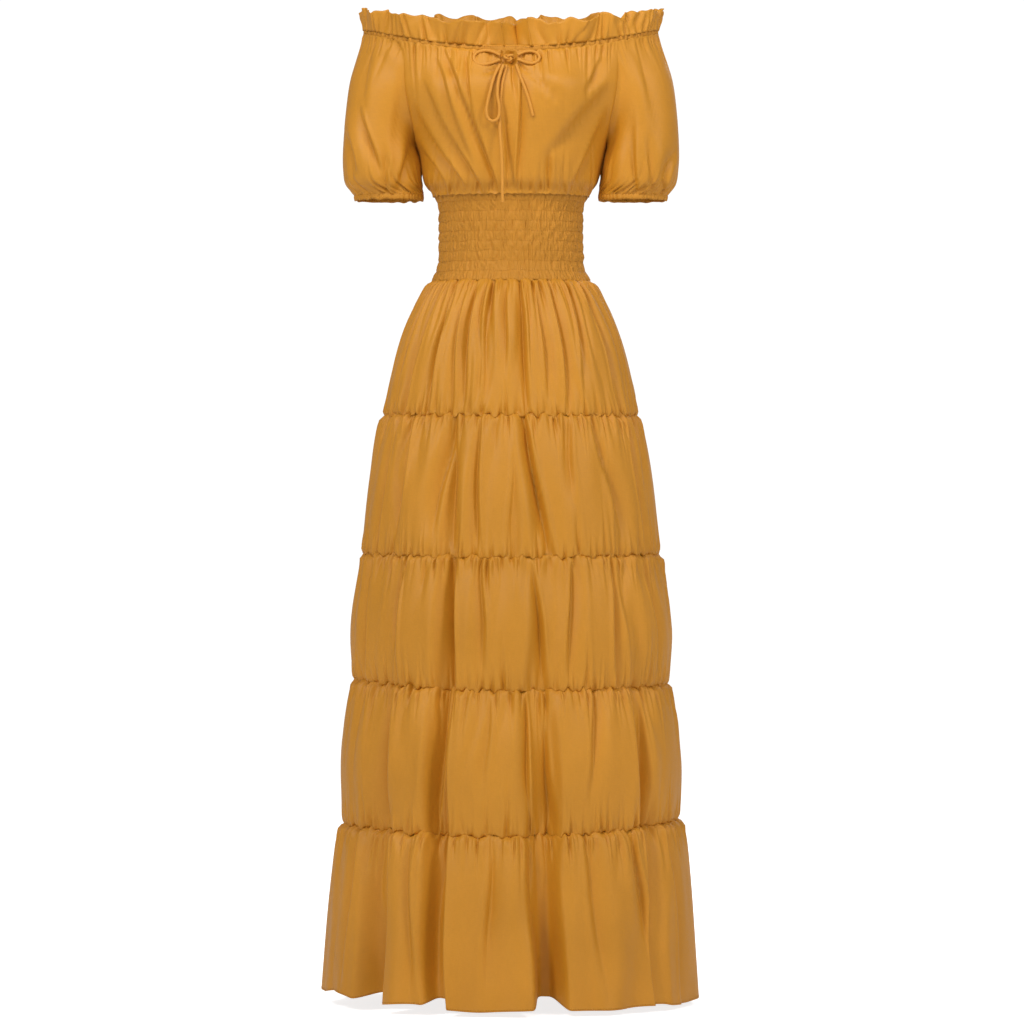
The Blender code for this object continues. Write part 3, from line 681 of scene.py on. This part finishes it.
def front_surface(x, z):
    v = np.linspace(0, 1, 61)
    rows = bodice_form(np.zeros_like(v), v, -1)
    at = np.interp(-z, -rows[:, 2], v)
    depth = -np.interp(at, v, rows[:, 1])
    width = np.interp(at, v, at_level(BODICE_LEVELS, "side", v))
    return -depth * math.sqrt(max(0.0, 1 - (TIE_CURVE * x / width) ** 2))


def tube(name, line, radius, closed=False):
    """A round cord's curve through a line of points."""
    curve = bpy.data.curves.new(name, "CURVE")
    curve.dimensions = "3D"
    curve.bevel_depth = radius
    curve.bevel_resolution = 4
    curve.use_fill_caps = not closed
    spline = curve.splines.new("POLY")
    spline.points.add(len(line) - 1)
    spline.points.foreach_set("co", np.column_stack([line, np.ones(len(line))]).ravel())
    spline.use_cyclic_u = closed
    return curve


def tie_line(route, lift):
    route = np.array(route)
    along = np.concatenate([[0], np.cumsum(np.linalg.norm(np.diff(route, axis=0), axis=1))])
    at = np.linspace(0, along[-1], max(8, round(along[-1] / TIE_STEP)) + 1)
    x, z = smooth(at, along, route[:, 0]), smooth(at, along, route[:, 1])
    y = np.array([front_surface(a, b) for a, b in zip(x, z)]) - TIE_CLEARANCE - lift
    return np.stack([x, np.where(z < BUST_Z, np.minimum.accumulate(y), y), z], axis=1)


for tie in TIES:
    line = tie_line(tie["route"], tie["lift"])
    cord = placed(tie["name"] + "_cord", tube(tie["name"] + "_cord", line, TIE_WIDTH / 2))
    cord.data.materials.append(tie_cotton_painted_highlight)
    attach(cord, "root")
    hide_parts(tie["name"])


# --- Skirt ---------------------------------------------------------------------------------------------


def seam_height(seam, angle):
    """Height of a skirt seam at an angle from the centre front."""
    sideways = np.sin(angle)
    lift = seam["right"] * np.clip(-sideways, 0, 1) ** 2 + seam["left"] * np.clip(sideways, 0, 1) ** 2
    return seam["z"] + lift + seam["centre"] * np.clip(np.cos(angle), 0, 1) ** 2


# A seam's unevenness: long and short waves up and down, how far it is pulled in, and more at the sides.
SEAM_LONG_WAVE, SEAM_SHORT_WAVE, SEAM_PULL, SIDE_PULL = 0.0021, 0.0014, 0.0032, 0.0034
PULL_REACH, WAVE_REACH = 0.0045, 0.022  # how far from a seam its pull and its waves reach
FREE_HEM = dict(sway=0.0040, drop=0.003)  # how far the hem strays in and out, and down


def seam_wave(angle, seam):
    """How far a seam's line strays up and in at an angle, the same for both pieces sewn there."""
    s = angle / TAU
    up = SEAM_LONG_WAVE * ripple(400 + seam, 1.0, 1 / 44)(s)
    up = up + SEAM_SHORT_WAVE * ripple(420 + seam, 1.0, 1 / 115)(s)
    inwards = np.clip(0.0004 + SEAM_PULL * ripple(440 + seam, 1.0, 1 / 80)(s), 0, 1)
    inwards = inwards + SIDE_PULL * np.sin(angle) ** 2
    return (up, inwards) if seam > 0 else (0.4 * up, 0.0 * inwards)


def front_dense(columns):
    """Angles all round, closer together at the centre front than behind."""
    turn = np.linspace(-math.pi, math.pi, columns, endpoint=False)
    return turn - 0.38 * np.sin(turn)


SEAM_PUFF = (0.0, 0.0002, 0.0008, 0.0008, 0.0008)  # how far each tier springs out just below its upper seam
PRESSED = 0.82  # a gathered strip's length along its folds' mean line, as a share of its cut


def tier_points(tier, columns, rows):
    shape = TIERS[tier]
    top, bottom = SKIRT_SEAMS[tier], SKIRT_SEAMS[tier + 1]
    last = tier == len(TIERS) - 1
    angle, t = np.meshgrid(front_dense(columns), rows)
    length = shape["cut"] * PRESSED
    s = (angle / TAU + 0.5) * length
    height = top["z"] - bottom["z"]
    h, h_low = t * height, (1 - t) * height
    swell = shape["belly"] * np.sin(math.pi * t ** shape["early"])
    half, front, back = (top[k] + (bottom[k] - top[k]) * t + swell for k in ("side", "front", "back"))
    deep = skirt_folds(angle, t, tier, 0.5 * (half + front))
    fine = gathered(s, h, length, 100 + 10 * tier, 1.0, WAIST_GATHERS if tier == 0 else SEAM_GATHERS)
    if not last:
        fine += gathered(s, h_low, length, 500 + 10 * tier, 0.80, LOWER_GATHERS)
    else:
        fine += FREE_HEM["sway"] * t * ripple(900, length, 0.085)(s, 0.8 * t)
    # The cloth rises from the upper seam's pinch, puffs out under it, and goes back in at the lower one.
    up, pinch = seam_wave(angle, tier)
    if tier > 0:
        uneven = 1 + 0.8 * ripple(470 + tier, length, 0.03)(s)
        fine += SEAM_PUFF[tier] * np.exp(-(((h - 0.006) / 0.005) ** 2)) * uneven
    inwards = deep - fine * (1 - np.exp(-h / 0.0010)) + pinch * np.exp(-h / PULL_REACH)
    z = seam_height(top, angle) * (1 - t) + seam_height(bottom, angle) * t + up * np.exp(-h / WAVE_REACH)
    if not last:
        up_low, pinch_low = seam_wave(angle, tier + 1)
        inwards = inwards + fine * np.exp(-h_low / 0.0010) + pinch_low * np.exp(-h_low / PULL_REACH)
        z = z + up_low * np.exp(-h_low / WAVE_REACH)
    else:
        z = z - FREE_HEM["drop"] * t * ripple(950, length, 0.16)(s) + HEM_LIFT * t * deep.clip(0, 0.06)
    x, y = on_ring(angle, half, front, back, inwards)
    points = np.stack([x, y, z], -1)
    # The first row is tucked up behind the piece above.
    tuck = points[:1].copy()
    centre_ward = -tuck[..., :2] / np.linalg.norm(tuck[..., :2], axis=-1, keepdims=True)
    tuck[..., :2] += SEAM_TUCK * centre_ward
    tuck[..., 2] += SEAM_LAP
    return np.concatenate([tuck, points])


for tier, shape in enumerate(TIERS):
    points = tier_points(tier, shape["columns"], spaced_rows(shape["rows"]))
    height = SKIRT_SEAMS[tier]["z"] - SKIRT_SEAMS[tier + 1]["z"]
    shell(f"{shape['name']}_cloth", points, True, cotton,
          (f"{shape['name']}_front", f"{shape['name']}_back"), (shape["cut"], height + TIER_TURNINGS))
hem_points = points

# --- Shirred waist -------------------------------------------------------------------------------------

SHIRRING_ROWS = 10  # rows of elastic stitching, with a puckered band between each two
MESH_ROWS_PER_BAND = 6
WAIST_LENGTH = 0.60  # around the waist
WAIST_HEIGHT = 0.124
WAIST_FLAT = (0.88, 0.126)
# A band's roundness, its own puckers and the larger ones that it shares with its neighbours.
WAIST_PUFF, WAIST_PUCKER, WAIST_SHARED = 0.0006, 0.0030, 0.0009


def waist_points(columns, rows):
    angle, v = ring_grid(columns, rows)
    length = WAIST_LENGTH
    s = (angle / TAU + 0.5) * length
    half, front, back = (at_level(WAIST_LEVELS, k, v) for k in ("side", "front", "back"))
    z = at_level(WAIST_LEVELS, "z", v)
    row = v * (SHIRRING_ROWS - 1)
    band = np.minimum(row.astype(int), SHIRRING_ROWS - 2)
    puff = np.sin(math.pi * (row - band)) ** 0.6
    puckers = 0.0 * s
    for number in range(SHIRRING_ROWS - 1):
        own = gathers(600 + 7 * number, length, 0.0054)(s, 0.0014 * ripple(640, length, 0.03)(s, 3.5 * row))
        puckers = np.where(band == number, own, puckers)
    shared = gathers(670, length, 0.0105)(s, 0.0030 * ripple(672, length, 0.04)(s, 1.2 * row))
    soft = ripple(660, length, 0.018)(s, 2.2 * row)
    outwards = -WAIST_PUFF + WAIST_PUFF * puff * (1 + 0.9 * soft)
    outwards = outwards + WAIST_PUCKER * puckers * (0.3 + 0.7 * puff) + WAIST_SHARED * shared
    z = z + 0.0006 * ripple(680, length, 0.035)(s, 1.3 * row)
    up, _ = seam_wave(angle, 0)
    z = z + up * np.exp(-(1 - v) * WAIST_HEIGHT / 0.010)
    x, y = on_ring(angle, half, front, back, -outwards)
    return np.stack([x, y, z], -1)


waist = waist_points(580, (SHIRRING_ROWS - 1) * MESH_ROWS_PER_BAND + 1)
shell("shirred_waist_cloth", waist, True, shirred_cotton_painted_shade,
      ("shirred_waist_front", "shirred_waist_back"), WAIST_FLAT)

# --- Bodice --------------------------------------------------------------------------------------------

# Drag folds of the front, from (x, z) to (x, z): troughs that the gathers pull towards the waist.
FRONT_DRAGS = table(
    "start end width depth steep",
    ((-0.083, -0.040), (-0.020, -0.205), 0.0062, 0.0100, -1),
    ((-0.098, -0.045), (-0.060, -0.150), 0.0065, 0.0075, -1),
    ((-0.062, -0.035), (-0.048, -0.110), 0.0050, 0.0050, -1),
    ((-0.112, -0.080), (-0.045, -0.205), 0.0074, 0.0086, -1),
    ((-0.126, -0.110), (-0.068, -0.205), 0.0080, 0.0095, -1),
    ((-0.124, -0.150), (-0.092, -0.205), 0.0075, 0.0080, -1),
    ((-0.010, -0.110), (-0.004, -0.205), 0.0060, 0.0060, 1),
    ((0.014, -0.070), (0.010, -0.205), 0.0060, 0.0065, 1),
    ((0.028, -0.062), (0.070, -0.090), 0.0060, 0.0050, 1),
    ((0.128, -0.075), (0.062, -0.150), 0.0160, 0.0090, 1),
    ((0.132, -0.110), (0.088, -0.200), 0.0100, 0.0090, 1),
    ((0.055, -0.160), (0.050, -0.205), 0.0070, 0.0060, -1),
    ((0.122, -0.035), (0.100, -0.075), 0.0070, 0.0055, 1),
    ((-0.012, -0.036), (-0.034, -0.054), 0.0042, 0.0038, 1),
    ((0.006, -0.036), (0.026, -0.050), 0.0042, 0.0038, -1),
    ((0.001, -0.040), (0.006, -0.085), 0.0042, 0.0034, 1),
)
BACK_DRAGS = table(
    "start end width depth steep",
    ((0.100, -0.040), (0.050, -0.200), 0.0085, 0.0085, 1),
    ((0.050, -0.020), (0.030, -0.190), 0.0075, 0.0075, -1),
    ((-0.020, -0.020), (-0.012, -0.180), 0.0080, 0.0070, 1),
    ((-0.065, -0.030), (-0.040, -0.200), 0.0080, 0.0080, -1),
    ((-0.115, -0.070), (-0.080, -0.200), 0.0090, 0.0080, 1),
    ((0.120, -0.100), (0.085, -0.205), 0.0080, 0.0080, -1),
)
# How far bodice and sleeves lap over the casing, the bodice over the waist and the sleeves over the cuffs.
NECK_LAP, WAIST_LAP, CUFF_LAP = 0.0028, 0.0042, 0.0022
NECK_LAP_REACH, LAP_REACH = 0.0030, 0.0040  # how far from an edge the lapping begins
BUST = dict(x=0.067, z=-0.068, radius=0.040, fall=0.078, out=0.0155)
KNOT_PIT = dict(radius=0.0090, depth=0.0070)  # where the pulled tie draws the cloth in behind its knot
SIDE_SEAM_DIP = 0.0018  # how far the bodice goes in along its side seams
BODICE_FRONT_FLAT, BODICE_BACK_FLAT, SLEEVE_FLAT = (0.46, 0.22), (0.42, 0.23), (0.42, 0.22)
BODICE_GATHERS = (
    dict(wavelength=0.0075, height=0.0036, reach=(0.006, 0.024)),
    dict(wavelength=0.0150, height=0.0042, reach=(0.012, 0.050)),
)


def drags(points, table):
    """How far a table of slanting troughs takes a surface in."""
    x, z = points[..., 0], points[..., 2]
    total = 0.0 * x
    for number, fold in enumerate(table):
        start, end = np.array(fold["start"]), np.array(fold["end"])
        run = end - start
        length = np.linalg.norm(run)
        along = ((x - start[0]) * run[0] + (z - start[1]) * run[1]) / length**2
        side = ((x - start[0]) * run[1] - (z - start[1]) * run[0]) / length
        side = side + 0.0014 * np.sin(4 * along + number)
        fade = np.sin(math.pi * np.clip((along + 0.15) / 1.3, 0, 1)) ** 0.7
        total += fold["depth"] * fade * crease(side, fold["width"], fold["steep"])
    return total


def lapped(points, normals, s, h, h_low, length, seed, band_lap):
    """Takes the upper edge over the neck casing, and the lower edge over the band below, both unevenly."""
    near, near_low = np.exp(-h / NECK_LAP_REACH), np.exp(-h_low / LAP_REACH)
    over = near * (NECK_LAP + 0.0009 * ripple(seed, length, 0.011)(s))
    under = near_low * (band_lap + 0.0006 * ripple(seed + 1, length, 0.013)(s))
    lift = 0.5 * NECK_LAP * near + 0.5 * band_lap * near_low
    points = points + normals * lift[..., None]
    points[..., 2] += over - under
    return points


def from_middle(form):
    """Distances across a piece from its middle column, and from the nearer of its edges."""
    across = along_lengths(form, 1)
    middle = across[:, across.shape[1] // 2, None]
    return across - middle, np.minimum(across, across[:, -1:] - across)


# Where a piece is rounded off, as a share of the way down, how far above and below, but not near its edges.
EASE = dict(at=0.5, reach=0.17, edge=0.016, turns=20)


def eased(form, v):
    """Rounds off the sharp change of form at the underarm, all across a piece but for its edges."""
    _, edge = from_middle(form)
    share = np.exp(-(((v - EASE["at"]) / EASE["reach"]) ** 2)) * (1 - np.exp(-((edge / EASE["edge"]) ** 2)))
    for _ in range(EASE["turns"]):
        form[1:-1] += 0.25 * share[1:-1, :, None] * (form[:-2] - 2 * form[1:-1] + form[2:])
    return form


EDGE_FADE = 0.0015  # within this of a gathered edge the folds die out


def gathered_twice(s, h, h_low, length, seed, strength, strength_low):
    """The folds of a piece that is gathered into a seam above and into one below."""
    return (gathered(s, h, length, seed, strength, BODICE_GATHERS)
            + gathered(s, h_low, length, seed + 5, strength_low, BODICE_GATHERS))


def held_edges(out, h, h_low):
    return out * (1 - np.exp(-h / EDGE_FADE)) * (1 - np.exp(-h_low / EDGE_FADE))


def bodice_points(side, columns, rows):
    u, v = np.meshgrid(np.linspace(-1, 1, columns), spaced_rows(rows))
    form = eased(bodice_form(u, v, side), v)
    normals = outward(form, False)
    s, edge = from_middle(form)
    length = BODICE_FRONT_FLAT[0]
    h = along_lengths(form, 0)
    h_low = h[-1:] - h
    seed = 200 if side < 0 else 260
    out = gathered_twice(s, h, h_low, length, seed, 1.0, 0.9)
    out -= drags(form, FRONT_DRAGS if side < 0 else BACK_DRAGS)
    if side < 0:
        for bust_x in (-BUST["x"], BUST["x"]):
            rise = form[..., 2] - BUST["z"]
            rise = rise / np.where(rise < 0, BUST["fall"], BUST["radius"])
            away = np.hypot((form[..., 0] - bust_x) / BUST["radius"], rise)
            out += BUST["out"] * np.exp(-(away**2))
        away = np.hypot(form[..., 0] - KNOT_PLACE[0], form[..., 2] - KNOT_PLACE[1]) / KNOT_PIT["radius"]
        out -= KNOT_PIT["depth"] * np.exp(-(away**2))
    out = out * (1 - np.exp(-edge / 0.006)) - SIDE_SEAM_DIP * np.exp(-edge / 0.003)
    out = held_edges(out, h, h_low)
    return lapped(form + normals * out[..., None], normals, s, h, h_low, length, seed + 12, WAIST_LAP)


front = bodice_points(-1, columns=410, rows=58)
back = bodice_points(1, columns=280, rows=40)
shell("bodice_front_cloth", front, False, cotton, ("bodice_front",), BODICE_FRONT_FLAT)
shell("bodice_back_cloth", back, False, cotton, ("bodice_back",), BODICE_BACK_FLAT)

# --- Sleeves -------------------------------------------------------------------------------------------

# Sleeve folds, from (x, z) to (x, z) with x outwards from the middle of the dress.
LEFT_SLEEVE_FOLDS = table(
    "start end width depth steep",
    ((0.150, -0.060), (0.134, -0.160), 0.0120, 0.0065, 1),
    ((0.176, -0.020), (0.204, -0.120), 0.0150, 0.0045, 1),
    ((0.165, -0.120), (0.172, -0.205), 0.0085, 0.0070, -1),
    ((0.226, -0.160), (0.209, -0.208), 0.0075, 0.0070, -1),
    ((0.142, -0.015), (0.150, -0.070), 0.0060, 0.0045, 1),
    ((0.190, -0.140), (0.193, -0.208), 0.0075, 0.0050, 1),
)
RIGHT_SLEEVE_FOLDS = table(
    "start end width depth steep",
    ((0.160, -0.002), (0.133, -0.040), 0.0070, 0.0055, 1),
    ((0.208, -0.105), (0.184, -0.178), 0.0080, 0.0085, 1),
    ((0.132, -0.130), (0.153, -0.200), 0.0110, 0.0080, -1),
    ((0.230, -0.130), (0.216, -0.180), 0.0075, 0.0065, 1),
    ((0.150, -0.050), (0.160, -0.140), 0.0130, 0.0045, -1),
    ((0.196, -0.010), (0.206, -0.090), 0.0150, 0.0040, 1),
    ((0.170, -0.160), (0.172, -0.208), 0.0070, 0.0055, 1),
)
HIDDEN_SLEEVE_FOLDS = table(
    "start end width depth steep",
    ((0.160, -0.020), (0.146, -0.120), 0.0100, 0.0060, -1),
    ((0.190, -0.020), (0.196, -0.150), 0.0130, 0.0055, 1),
    ((0.168, -0.110), (0.175, -0.205), 0.0085, 0.0070, 1),
    ((0.212, -0.090), (0.202, -0.205), 0.0090, 0.0065, -1),
)


SLEEVE_TUCK = 0.016  # how far its edges go in behind the bodice at the armhole, as a share of its width
# How far the sleeve's inner side is moved in to rest on the bodice, and where, in shares of the way down.
SLEEVE_REST = dict(shift=0.0055, at=0.60, reach=0.13)
SLEEVE_LENGTH = 0.40  # around the sleeve
SLEEVE_SIDE_WAVE = 0.0030  # how far the cloth waves between its front and back folds


def sleeve_points(seed, folds, columns, rows):
    u, v = np.meshgrid(np.linspace(-SLEEVE_TUCK, 1 + SLEEVE_TUCK, columns), spaced_rows(rows))
    form = eased(sleeve_form(u, v), v)
    inner = 0.5 + 0.5 * np.cos(TAU * u)
    near = np.exp(-(((v - SLEEVE_REST["at"]) / SLEEVE_REST["reach"]) ** 2))
    form[..., 0] -= SLEEVE_REST["shift"] * inner * near
    normals = outward(form, False)
    s, edge = from_middle(form)
    length = SLEEVE_LENGTH
    h = along_lengths(form, 0)
    h_low = h[-1:] - h
    out = gathered_twice(s, h, h_low, length, seed, 0.9, 1.35)
    outer = np.abs(form[..., 1]) / SLEEVE_LEVELS[UNDERARM]["depth"]
    facing = np.clip(outer / 0.5, 0, 1)
    out -= facing * np.where(form[..., 1] < 0, drags(form, folds), drags(form, HIDDEN_SLEEVE_FOLDS))
    wave = SLEEVE_SIDE_WAVE * (0.5 + ripple(seed + 20, length, 0.045)(s, 1.5 * v)) * np.sin(math.pi * v)
    out -= (1 - facing) * wave
    out = held_edges(out * (1 - np.exp(-edge / 0.010)), h, h_low)
    return lapped(form + normals * out[..., None], normals, s, h, h_low, length, seed + 12, CUFF_LAP)


left_sleeve = sleeve_points(300, LEFT_SLEEVE_FOLDS, columns=240, rows=52)
right_sleeve = mirrored(sleeve_points(340, RIGHT_SLEEVE_FOLDS, columns=240, rows=52))
shell("sleeve_left_cloth", left_sleeve, False, cotton, ("sleeve_left",), SLEEVE_FLAT)
shell("sleeve_right_cloth", right_sleeve, False, cotton, ("sleeve_right",), SLEEVE_FLAT)

CUFF_LENGTH = 0.28  # around the cuff
CUFF_FLAT = (0.40, 0.0125)
FOLDED_CLOTH = 0.0014  # thickness of the cloth folded over the elastic
CUFF_ROUND, CUFF_PUCKER = 0.0012, 0.0022  # how far the cuff is rounded and puckered
CUFF_LIFT = 0.001  # how far its upper edge goes up into the sleeve


def cuff_points(seed, columns, rows):
    angle, v = ring_grid(columns, rows, start=0.0)
    last = SLEEVE_LEVELS[-1]
    reach = last["outer"] - last["middle"]
    length = CUFF_LENGTH
    s = angle / TAU * length
    out = CUFF_ROUND * np.sin(math.pi * v) + CUFF_PUCKER * gathers(seed, length, 0.006)(s, 0.001 * v)
    nx, ny = -last["depth"] * np.cos(angle), -reach * np.sin(angle)
    size = np.hypot(nx, ny)
    x = last["middle"] - reach * np.cos(angle) + out * nx / size
    y = -last["depth"] * np.sin(angle) + out * ny / size
    z = last["z"] + CUFF_LIFT - (CUFF_HEIGHT + CUFF_LIFT) * v + 0.0008 * ripple(seed + 3, length, 0.02)(s)
    return np.stack([x, y, z], -1)


cuffs = (("left", cuff_points(380, columns=220, rows=5)),
         ("right", mirrored(cuff_points(390, columns=220, rows=5))))
for side, points in cuffs:
    shell(f"cuff_{side}_cloth", points, True, casing_cotton_painted_shade, (f"cuff_{side}",), CUFF_FLAT,
          thickness=FOLDED_CLOTH)

# --- Neckline ------------------------------------------------------------------------------------------

NECK_LENGTH = 0.98  # around the neckline
CASING_FLAT, RUFFLE_FLAT = (1.35, 0.0125), (1.35, 0.034)
CASING_ROUND, CASING_PUCKER = 0.0007, 0.0032  # the same for the casing
RUFFLE_LEAN = 0.0095  # how far the ruffle's top leans outwards
RUFFLE_PLEAT, RUFFLE_GATHER, CENTRE_PLEAT = 0.0115, 0.0068, 0.0145  # how deep they are


def neck_ring(angle, out):
    half, depth = NECK_WIDTH / 2, NECK_DEPTH / 2
    x, y = on_ring(angle, half, depth, depth, -out)
    return x, y, neck_height(-np.cos(angle))


def casing_points(columns, rows):
    angle, v = ring_grid(columns, rows)
    length = NECK_LENGTH
    s = (angle / TAU + 0.5) * length
    out = -0.0008 + CASING_ROUND * np.sin(math.pi * v)
    out = out + CASING_PUCKER * gathers(700, length, 0.0080)(s, 0.001 * v)
    x, y, z = neck_ring(angle, out)
    z = z + CASING_HEIGHT * (0.5 - v) + 0.0012 * ripple(710, length, 0.03)(s)
    return np.stack([x, y, z], -1)


RUFFLE_LAP = 0.0020  # how far the ruffle's lower edge laps over the casing
# Where the ruffle's front edge sinks, between its broad scallops.
RUFFLE_DIPS = table(
    "x width depth",
    (-0.071, 0.017, 0.0055),
    (-0.016, 0.005, 0.0040),
    (0.036, 0.005, 0.0040),
    (0.093, 0.017, 0.0050),
)


def ruffle_points(columns, rows):
    angle, v = ring_grid(columns, rows)
    up = 1 - v
    length = NECK_LENGTH
    s = (angle / TAU + 0.5) * length
    sideways = np.sin(angle) ** 2
    lean = 0.009 * up * ripple(722, length, 0.12)(s)
    corner = sideways**3  # the oval's ends, where its tight bend leaves little room for pleats
    phase, size = pleat_phase(720, length, 0.031)
    wave, depth = phase(s, lean), RUFFLE_PLEAT * size(s) * up**0.7 * (1 - 0.40 * sideways - 0.35 * corner)
    out = 0.0012 + up * (RUFFLE_LEAN - 0.0060 * sideways) + depth * np.cos(wave)
    along = -0.0042 * size(s) * up * np.sin(2 * wave) * (1 - 0.8 * corner)
    room = 1 - 0.3 * sideways - 0.3 * corner
    out += RUFFLE_GATHER * gathers(724, length, 0.0110)(s, lean) * (1 - 0.70 * up) * room
    out += 0.0030 * sideways * up * ripple(726, length, 0.022)(s, 2.5 * v)
    # Pleats where the drawstring pulls the heading together at the centre front.
    middle = np.exp(-((wrapped(angle - 0.005) * 0.2 / 0.030) ** 2))
    phase, size = pleat_phase(733, length, 0.0150)
    wave = phase(s, 0.003 * up)
    out = out * (1 - middle) + middle * (CENTRE_PLEAT * np.cos(wave) * (0.5 + 0.5 * up) - 0.006)
    along = along * (1 - middle) - middle * 0.0030 * np.sin(2 * wave)
    x, y, z = neck_ring(angle + along / 0.16, out)
    front_share = np.clip(np.cos(angle), 0, 1) ** 2
    tall = RUFFLE_HEIGHT + RUFFLE_FRONT_EXTRA * front_share + 0.0038 * ripple(740, length, 0.05)(s)
    tall = tall + 0.0014 * ripple(742, length, 0.020)(s) * (1 - corner)
    for dip in RUFFLE_DIPS:
        tall -= dip["depth"] * front_share * np.exp(-(((x - dip["x"]) / dip["width"]) ** 2))
    z = z + 0.5 * CASING_HEIGHT - RUFFLE_LAP + (tall + RUFFLE_LAP - 0.10 * np.hypot(out, 0.006)) * up
    return np.stack([x, y, z], -1)


casing = casing_points(columns=640, rows=5)
ruffle = ruffle_points(columns=900, rows=13)
shell("neck_casing_cloth", casing, True, casing_cotton_painted_shade, ("neck_casing_front", "neck_casing_back"),
      CASING_FLAT, thickness=FOLDED_CLOTH)
shell("neck_ruffle_cloth", ruffle, True, cotton, ("neck_ruffle_front", "neck_ruffle_back"),
      RUFFLE_FLAT)

# --- Knot ----------------------------------------------------------------------------------------------


KNOT_POINTS = 89
KNOT_STRAND = 0.42 * TIE_WIDTH  # radius of the tie where it is pulled tight


def knot_line():
    """The closed line of a trefoil, as large as the knot."""
    t = np.linspace(0, TAU, KNOT_POINTS, endpoint=False)
    x = np.sin(t) + 2 * np.sin(2 * t)
    z = np.cos(t) - 2 * np.cos(2 * t)
    y = np.sin(3 * t)
    size = (np.array(KNOT_SIZE) - 0.8 * TIE_WIDTH) / 2
    knot_x, knot_z = KNOT_PLACE
    middle = np.array([knot_x, front_surface(knot_x, knot_z) - 0.5 * KNOT_SIZE[1] - 0.001, knot_z])
    return middle + np.stack([x / 2.6 * size[0], y * size[1], z / 3.0 * size[2]], -1)


wraps = tube("tie_knot_wraps", knot_line(), KNOT_STRAND, closed=True)
source = bpy.data.objects.new("tie_knot_source", wraps)
knot = placed("tie_knot_wraps", bpy.data.meshes.new_from_object(source))
bpy.data.objects.remove(source)
knot.data.materials.append(tie_cotton_painted_highlight)
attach(knot, "root")
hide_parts("tie_knot")

# --- Stitches ------------------------------------------------------------------------------------------


STITCH_LIFT = 0.0002  # how far the stitches stand out of the cloth


def sewn(name, points, row, spacing, length, width):
    place, along, out = stitch_row(points[row], outward(points, True)[row], spacing)
    stitches(name, place + STITCH_LIFT * out, along, out, length, width)


sewn("hem_stitches", hem_points, -2, spacing=0.0036, length=0.0026, width=0.0006)
sewn("casing_stitches_upper", casing, 1, spacing=0.0032, length=0.0022, width=0.0006)
sewn("casing_stitches_lower", casing, -2, spacing=0.0032, length=0.0022, width=0.0006)
for side, points in cuffs:
    sewn(f"cuff_{side}_stitches", points, 1, spacing=0.0032, length=0.0022, width=0.0006)
for row in range(1, SHIRRING_ROWS - 1):
    sewn(f"shirring_row_{row}", waist, row * MESH_ROWS_PER_BAND, spacing=0.0030, length=0.0022, width=0.00055)

# --- Floor, light and background -----------------------------------------------------------------------

FLOOR_GAP = 0.004
FLOOR_LIGHT, FLOOR_SEEN = 0.20, 0.80  # how strongly it glows on the dress, and to the camera
lowest = min(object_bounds()[0][2], cad_bounds[0][2])
bpy.ops.mesh.primitive_plane_add(size=400, location=(0, 0, lowest - FLOOR_GAP))
floor = bpy.context.object
floor.name = "floor"
pale = bpy.data.materials.new("pale_floor")
pale_nodes = Nodes(pale)
pale_nodes.shader.inputs["Base Color"].default_value = (0.80, 0.80, 0.80, 1)
pale_nodes.shader.inputs["Roughness"].default_value = 0.9
pale_nodes.shader.inputs["Specular IOR Level"].default_value = 0.0
pale_nodes.shader.inputs["Emission Color"].default_value = (1, 1, 1, 1)
seen_by_camera = pale_nodes.add("ShaderNodeLightPath").outputs["Is Camera Ray"]
pale_nodes.link(pale_nodes.ramp(seen_by_camera, FLOOR_LIGHT, FLOOR_SEEN, 0.0, 1.0),
                pale_nodes.shader.inputs["Emission Strength"])
floor.data.materials.append(pale)


def area_light(name, place, target, size, power):
    light = bpy.data.lights.new(name, "AREA")
    light.shape = "DISK"
    light.size = size
    light.energy = power
    made = placed(name, light)
    made.location = place
    direction = np.array(target) - np.array(place)
    yaw = math.atan2(direction[1], direction[0]) - math.pi / 2
    pitch = math.atan2(direction[2], math.hypot(direction[0], direction[1])) + math.pi / 2
    made.rotation_euler = (pitch, 0, yaw)


MIDDLE, NECKLINE = (0, 0, -0.75), (0, 0, -0.06)
area_light("key", (-2.4, -3.4, 2.0), MIDDLE, size=0.9, power=92)
area_light("fill", (3.1, -3.0, 1.8), MIDDLE, size=1.2, power=70)
area_light("neckline", (0, -0.85, 0.70), NECKLINE, size=0.4, power=5.0)
area_light("back", (1.5, 3.6, 1.6), MIDDLE, size=2.0, power=40)

WORLD_LIGHT, WORLD_SEEN = 0.36, 1.05
world = bpy.data.worlds.new("studio")
bpy.context.scene.world = world
world.use_nodes = True
tree = world.node_tree
background = tree.nodes["Background"]
background.inputs["Strength"].default_value = WORLD_LIGHT
seen = tree.nodes.new("ShaderNodeBackground")
seen.inputs["Strength"].default_value = WORLD_SEEN
for node in (background, seen):
    node.inputs["Color"].default_value = (1, 1, 1, 1)
path = tree.nodes.new("ShaderNodeLightPath")
mix = tree.nodes.new("ShaderNodeMixShader")
tree.links.new(path.outputs["Is Camera Ray"], mix.inputs[0])
tree.links.new(background.outputs[0], mix.inputs[1])
tree.links.new(seen.outputs[0], mix.inputs[2])
tree.links.new(mix.outputs[0], tree.nodes["World Output"].inputs["Surface"])
bpy.context.scene.view_settings.view_transform = "Standard"
